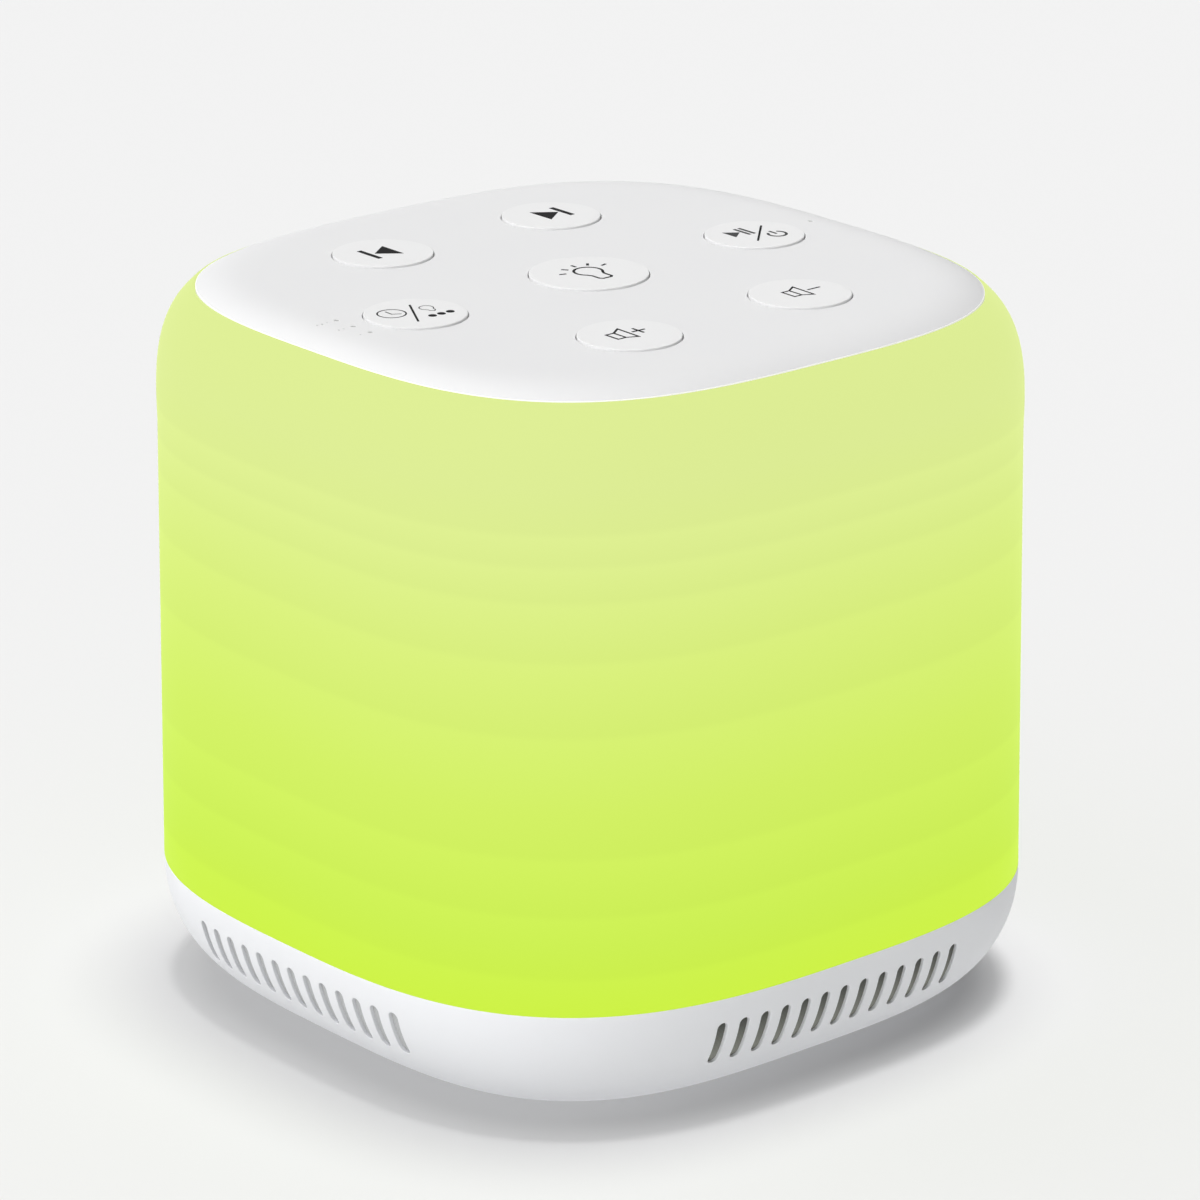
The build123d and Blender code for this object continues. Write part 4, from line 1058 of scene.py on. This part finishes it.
# the pieces kept from the frame
innerLooks = {
    "base_white": lookOf((242, 242, 243), (240, 240, 242), 0.55),
    "core_white": lookOf((240, 240, 236), (234, 234, 230), 0.7),
    "chassis_grey": lookOf((150, 150, 152), (140, 140, 142), 0.6),
    "foot_rubber": lookOf((205, 205, 206), (196, 196, 197), 0.85, bump=0.2),
    "screw_steel": lookOf((196, 197, 200), (178, 179, 183), 0.3, metallic=1.0),
    "inlet_metal": lookOf((205, 205, 208), (188, 188, 192), 0.25, metallic=1.0),
    "black_plastic": lookOf((44, 44, 46), (36, 36, 38), 0.5),
    "black_foam": lookOf((48, 48, 49), (34, 34, 35), 0.95, bump=0.4),
    "frame_steel": lookOf((62, 62, 64), (54, 54, 56), 0.4),
    "plate_steel": lookOf((190, 191, 194), (172, 173, 177), 0.35, metallic=1.0),
    "magnet_ferrite": lookOf((66, 66, 69), (52, 52, 55), 0.75),
    "coil_copper": lookOf((186, 112, 72), (166, 92, 56), 0.35, metallic=1.0),
    "cone_paper": lookOf((60, 60, 63), (46, 46, 49), 0.95, bump=0.5),
    "surround_rubber": lookOf((46, 46, 47), (38, 38, 39), 0.7),
    "spider_cloth": lookOf((208, 184, 130), (190, 162, 106), 0.9, bump=0.5),
    "board_white": lookOf((238, 239, 236), (230, 231, 228), 0.45),
    "board_green": lookOf((34, 112, 66), (26, 96, 54), 0.4),
    "emitter_lens": lookOf((242, 232, 170), (236, 222, 150), 0.25),
    "can_aluminium": lookOf((204, 206, 209), (186, 188, 192), 0.3, metallic=1.0),
    "connector_ivory": lookOf((236, 230, 206), (228, 220, 194), 0.5),
    "ribbon_grey": lookOf((204, 206, 208), (192, 194, 197), 0.5),
    "pipe_clear": lookOf((186, 186, 184), (174, 174, 172), 0.3),
    "plunger_plastic": lookOf((74, 74, 74), (62, 62, 62), 0.5),
}
innerMaterials = {name: mouldedPlastic("frame-" + name, look) for name, look in innerLooks.items()}
slotOf = {row["node"]: row["material_slot"] for row in frame["record"]["subparts"]}
for nodeName, part in nodes.items():
    if slotOf[nodeName] in innerMaterials:
        part.data.materials.clear()
        part.data.materials.append(innerMaterials[slotOf[nodeName]])
print("stage: kept pieces")

# floor, light and camera
stageSettings = dict(
    floorSize=8.0, floorTone=(188, 188, 188), floorRoughness=0.9, floorGlow=0.29,
    # where the floor's painted shadow starts and ends, and how deep it is on the left and right
    dimInside=0.043, dimOutside=0.0505, dimLeft=0.42, dimRight=1.0,
    dimLeftEnd=-0.003, dimRightEnd=0.050, lift=0.18,
    background=(241, 241, 241), ambient=0.45, ambientLean=0.55,
)
# one lamp for the machine and one for the floor, so that the floor keeps only a soft shadow
lampSettings = dict(keyLamp=dict(strength=1.82, azimuth=187, elevation=52, spread=60),
                    overheadLamp=dict(strength=2.36, azimuth=5, elevation=86, spread=17))


# the camera's right-hand side as a direction in plan
def cameraRight():
    turn = math.radians(cameraSettings["azimuth"])
    return math.cos(turn), math.sin(turn), 0


def addSun(name, groupName, lit):
    s = lampSettings[name]
    lamp = bpy.data.lights.new(name, "SUN")
    lamp.energy, lamp.angle = s["strength"], math.radians(s["spread"])
    turn, rise = math.radians(s["azimuth"]), math.radians(s["elevation"])
    away = Vector((math.cos(turn) * math.cos(rise), math.sin(turn) * math.cos(rise), math.sin(rise)))
    lampObject = addObject(name, lamp)
    lampObject.location = away
    lampObject.rotation_euler = (-away).to_track_quat("-Z", "Y").to_euler()
    receivers = bpy.data.collections.new(groupName)
    for litPiece in lit:
        receivers.objects.link(litPiece)
    lampObject.light_linking.receiver_collection = receivers


# A light table: a third of the floor's paleness is a glow of its own, so that its shadows stay
# light. The glow fades towards the machine, by the size (|x|^3 + |y|^3)^(1/3) of the squircle
# through the point, and more so on the right: a painted shadow round the machine's foot, for the
# rays that see the floor. What lights the machine's underside grows instead.
def floorMaterial():
    s = stageSettings
    material, tree, shader = newMaterial("floorPale")
    place = objectPlace(tree)
    split = addNode(tree, "SeparateXYZ", place).outputs
    cubes = [mathStep(tree, "POWER", mathStep(tree, "ABSOLUTE", split[k]), 3.0) for k in ("X", "Y")]
    size = mathStep(tree, "POWER", mathStep(tree, "ADD", *cubes), 1 / 3)
    near = mapRange(tree, size, s["dimOutside"], s["dimInside"], interpolation_type="SMOOTHSTEP")
    across = dotStep(tree, place, cameraRight())
    side = mapRange(tree, across, s["dimLeftEnd"], s["dimRightEnd"], s["dimLeft"], s["dimRight"])
    seen = seenRays(tree)
    # painted shadow: for the rays that see the floor, its glow is taken away near the machine
    paintedShadow = mathStep(tree, "MULTIPLY", mathStep(tree, "MULTIPLY", near, side), seen)
    lift = mathStep(tree, "MULTIPLY", near, mathStep(tree, "SUBTRACT", 1.0, seen))
    glow = mathStep(tree, "MULTIPLY", mathStep(tree, "SUBTRACT", 1.0, paintedShadow), s["floorGlow"])
    setInputs(tree, shader, {
        "Emission Strength": mathStep(tree, "MULTIPLY_ADD", lift, s["lift"], glow),
        "Emission Color": (1, 1, 1, 1), "Base Color": srgb(*s["floorTone"]),
        "Roughness": s["floorRoughness"], "Specular IOR Level": 0.0})
    return material


def buildStage():
    s = stageSettings
    mesh = bpy.data.meshes.new("floor")
    half = s["floorSize"] / 2
    mesh.from_pydata([(*corner, 0) for corner in rectangle(-half, -half, half, half)], [], [(0, 1, 2, 3)])
    mesh.materials.append(floorMaterial())
    floor = addObject("floor", mesh)
    floor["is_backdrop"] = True
    addSun("keyLamp", "onMachine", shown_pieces())
    addSun("overheadLamp", "onFloor", [floor])

    # a plain background, and a soft light that is stronger from the camera's left
    world = bpy.data.worlds.new("studio")
    bpy.context.scene.world = world
    world.use_nodes = True
    tree = world.node_tree
    tree.nodes.clear()
    place = addNode(tree, "TexCoord").outputs["Generated"]
    lean = dotStep(tree, place, [-v for v in cameraRight()])
    strength = mathStep(tree, "MULTIPLY_ADD", lean, s["ambient"] * s["ambientLean"], s["ambient"])
    light = addNode(tree, "Background", (1, 1, 1, 1), strength)
    backdrop = addNode(tree, "Background", srgb(*s["background"]))
    mix = addNode(tree, "MixShader", seenRays(tree), light.outputs[0], backdrop.outputs[0])
    addNode(tree, "OutputWorld", mix.outputs[0])


cameraSettings = dict(azimuth=-40.1529, elevation=19.1374, distance=0.73976, targetZ=0.05126,
                      aside=0.001339, roll=-0.0857, lens=172.33)


def buildCamera():
    s = cameraSettings
    a, e, roll = (math.radians(s[k]) for k in ("azimuth", "elevation", "roll"))
    back = Vector((math.sin(a) * math.cos(e), -math.cos(a) * math.cos(e), math.sin(e)))
    target = Vector((0, 0, s["targetZ"]))
    place = target + back * s["distance"]
    side = (-back).cross(Vector((0, 0, 1))).normalized()
    forward = (target + side * s["aside"] - place).normalized()
    side = forward.cross(Vector((0, 0, 1))).normalized()
    up = side.cross(forward)
    right = side * math.cos(roll) + up * math.sin(roll)
    up = up * math.cos(roll) - side * math.sin(roll)
    camera = bpy.data.cameras.new("camera")
    camera.lens = s["lens"]
    camera.sensor_width = 36.0
    cameraObject = addObject("camera", camera)
    turn = Matrix((right, up, -forward)).transposed().to_4x4()
    cameraObject.matrix_world = Matrix.Translation(place) @ turn
    bpy.context.scene.camera = cameraObject


buildStage()
buildCamera()
bpy.context.scene.view_settings.view_transform = "Standard"
print("stage: floor, light and camera")
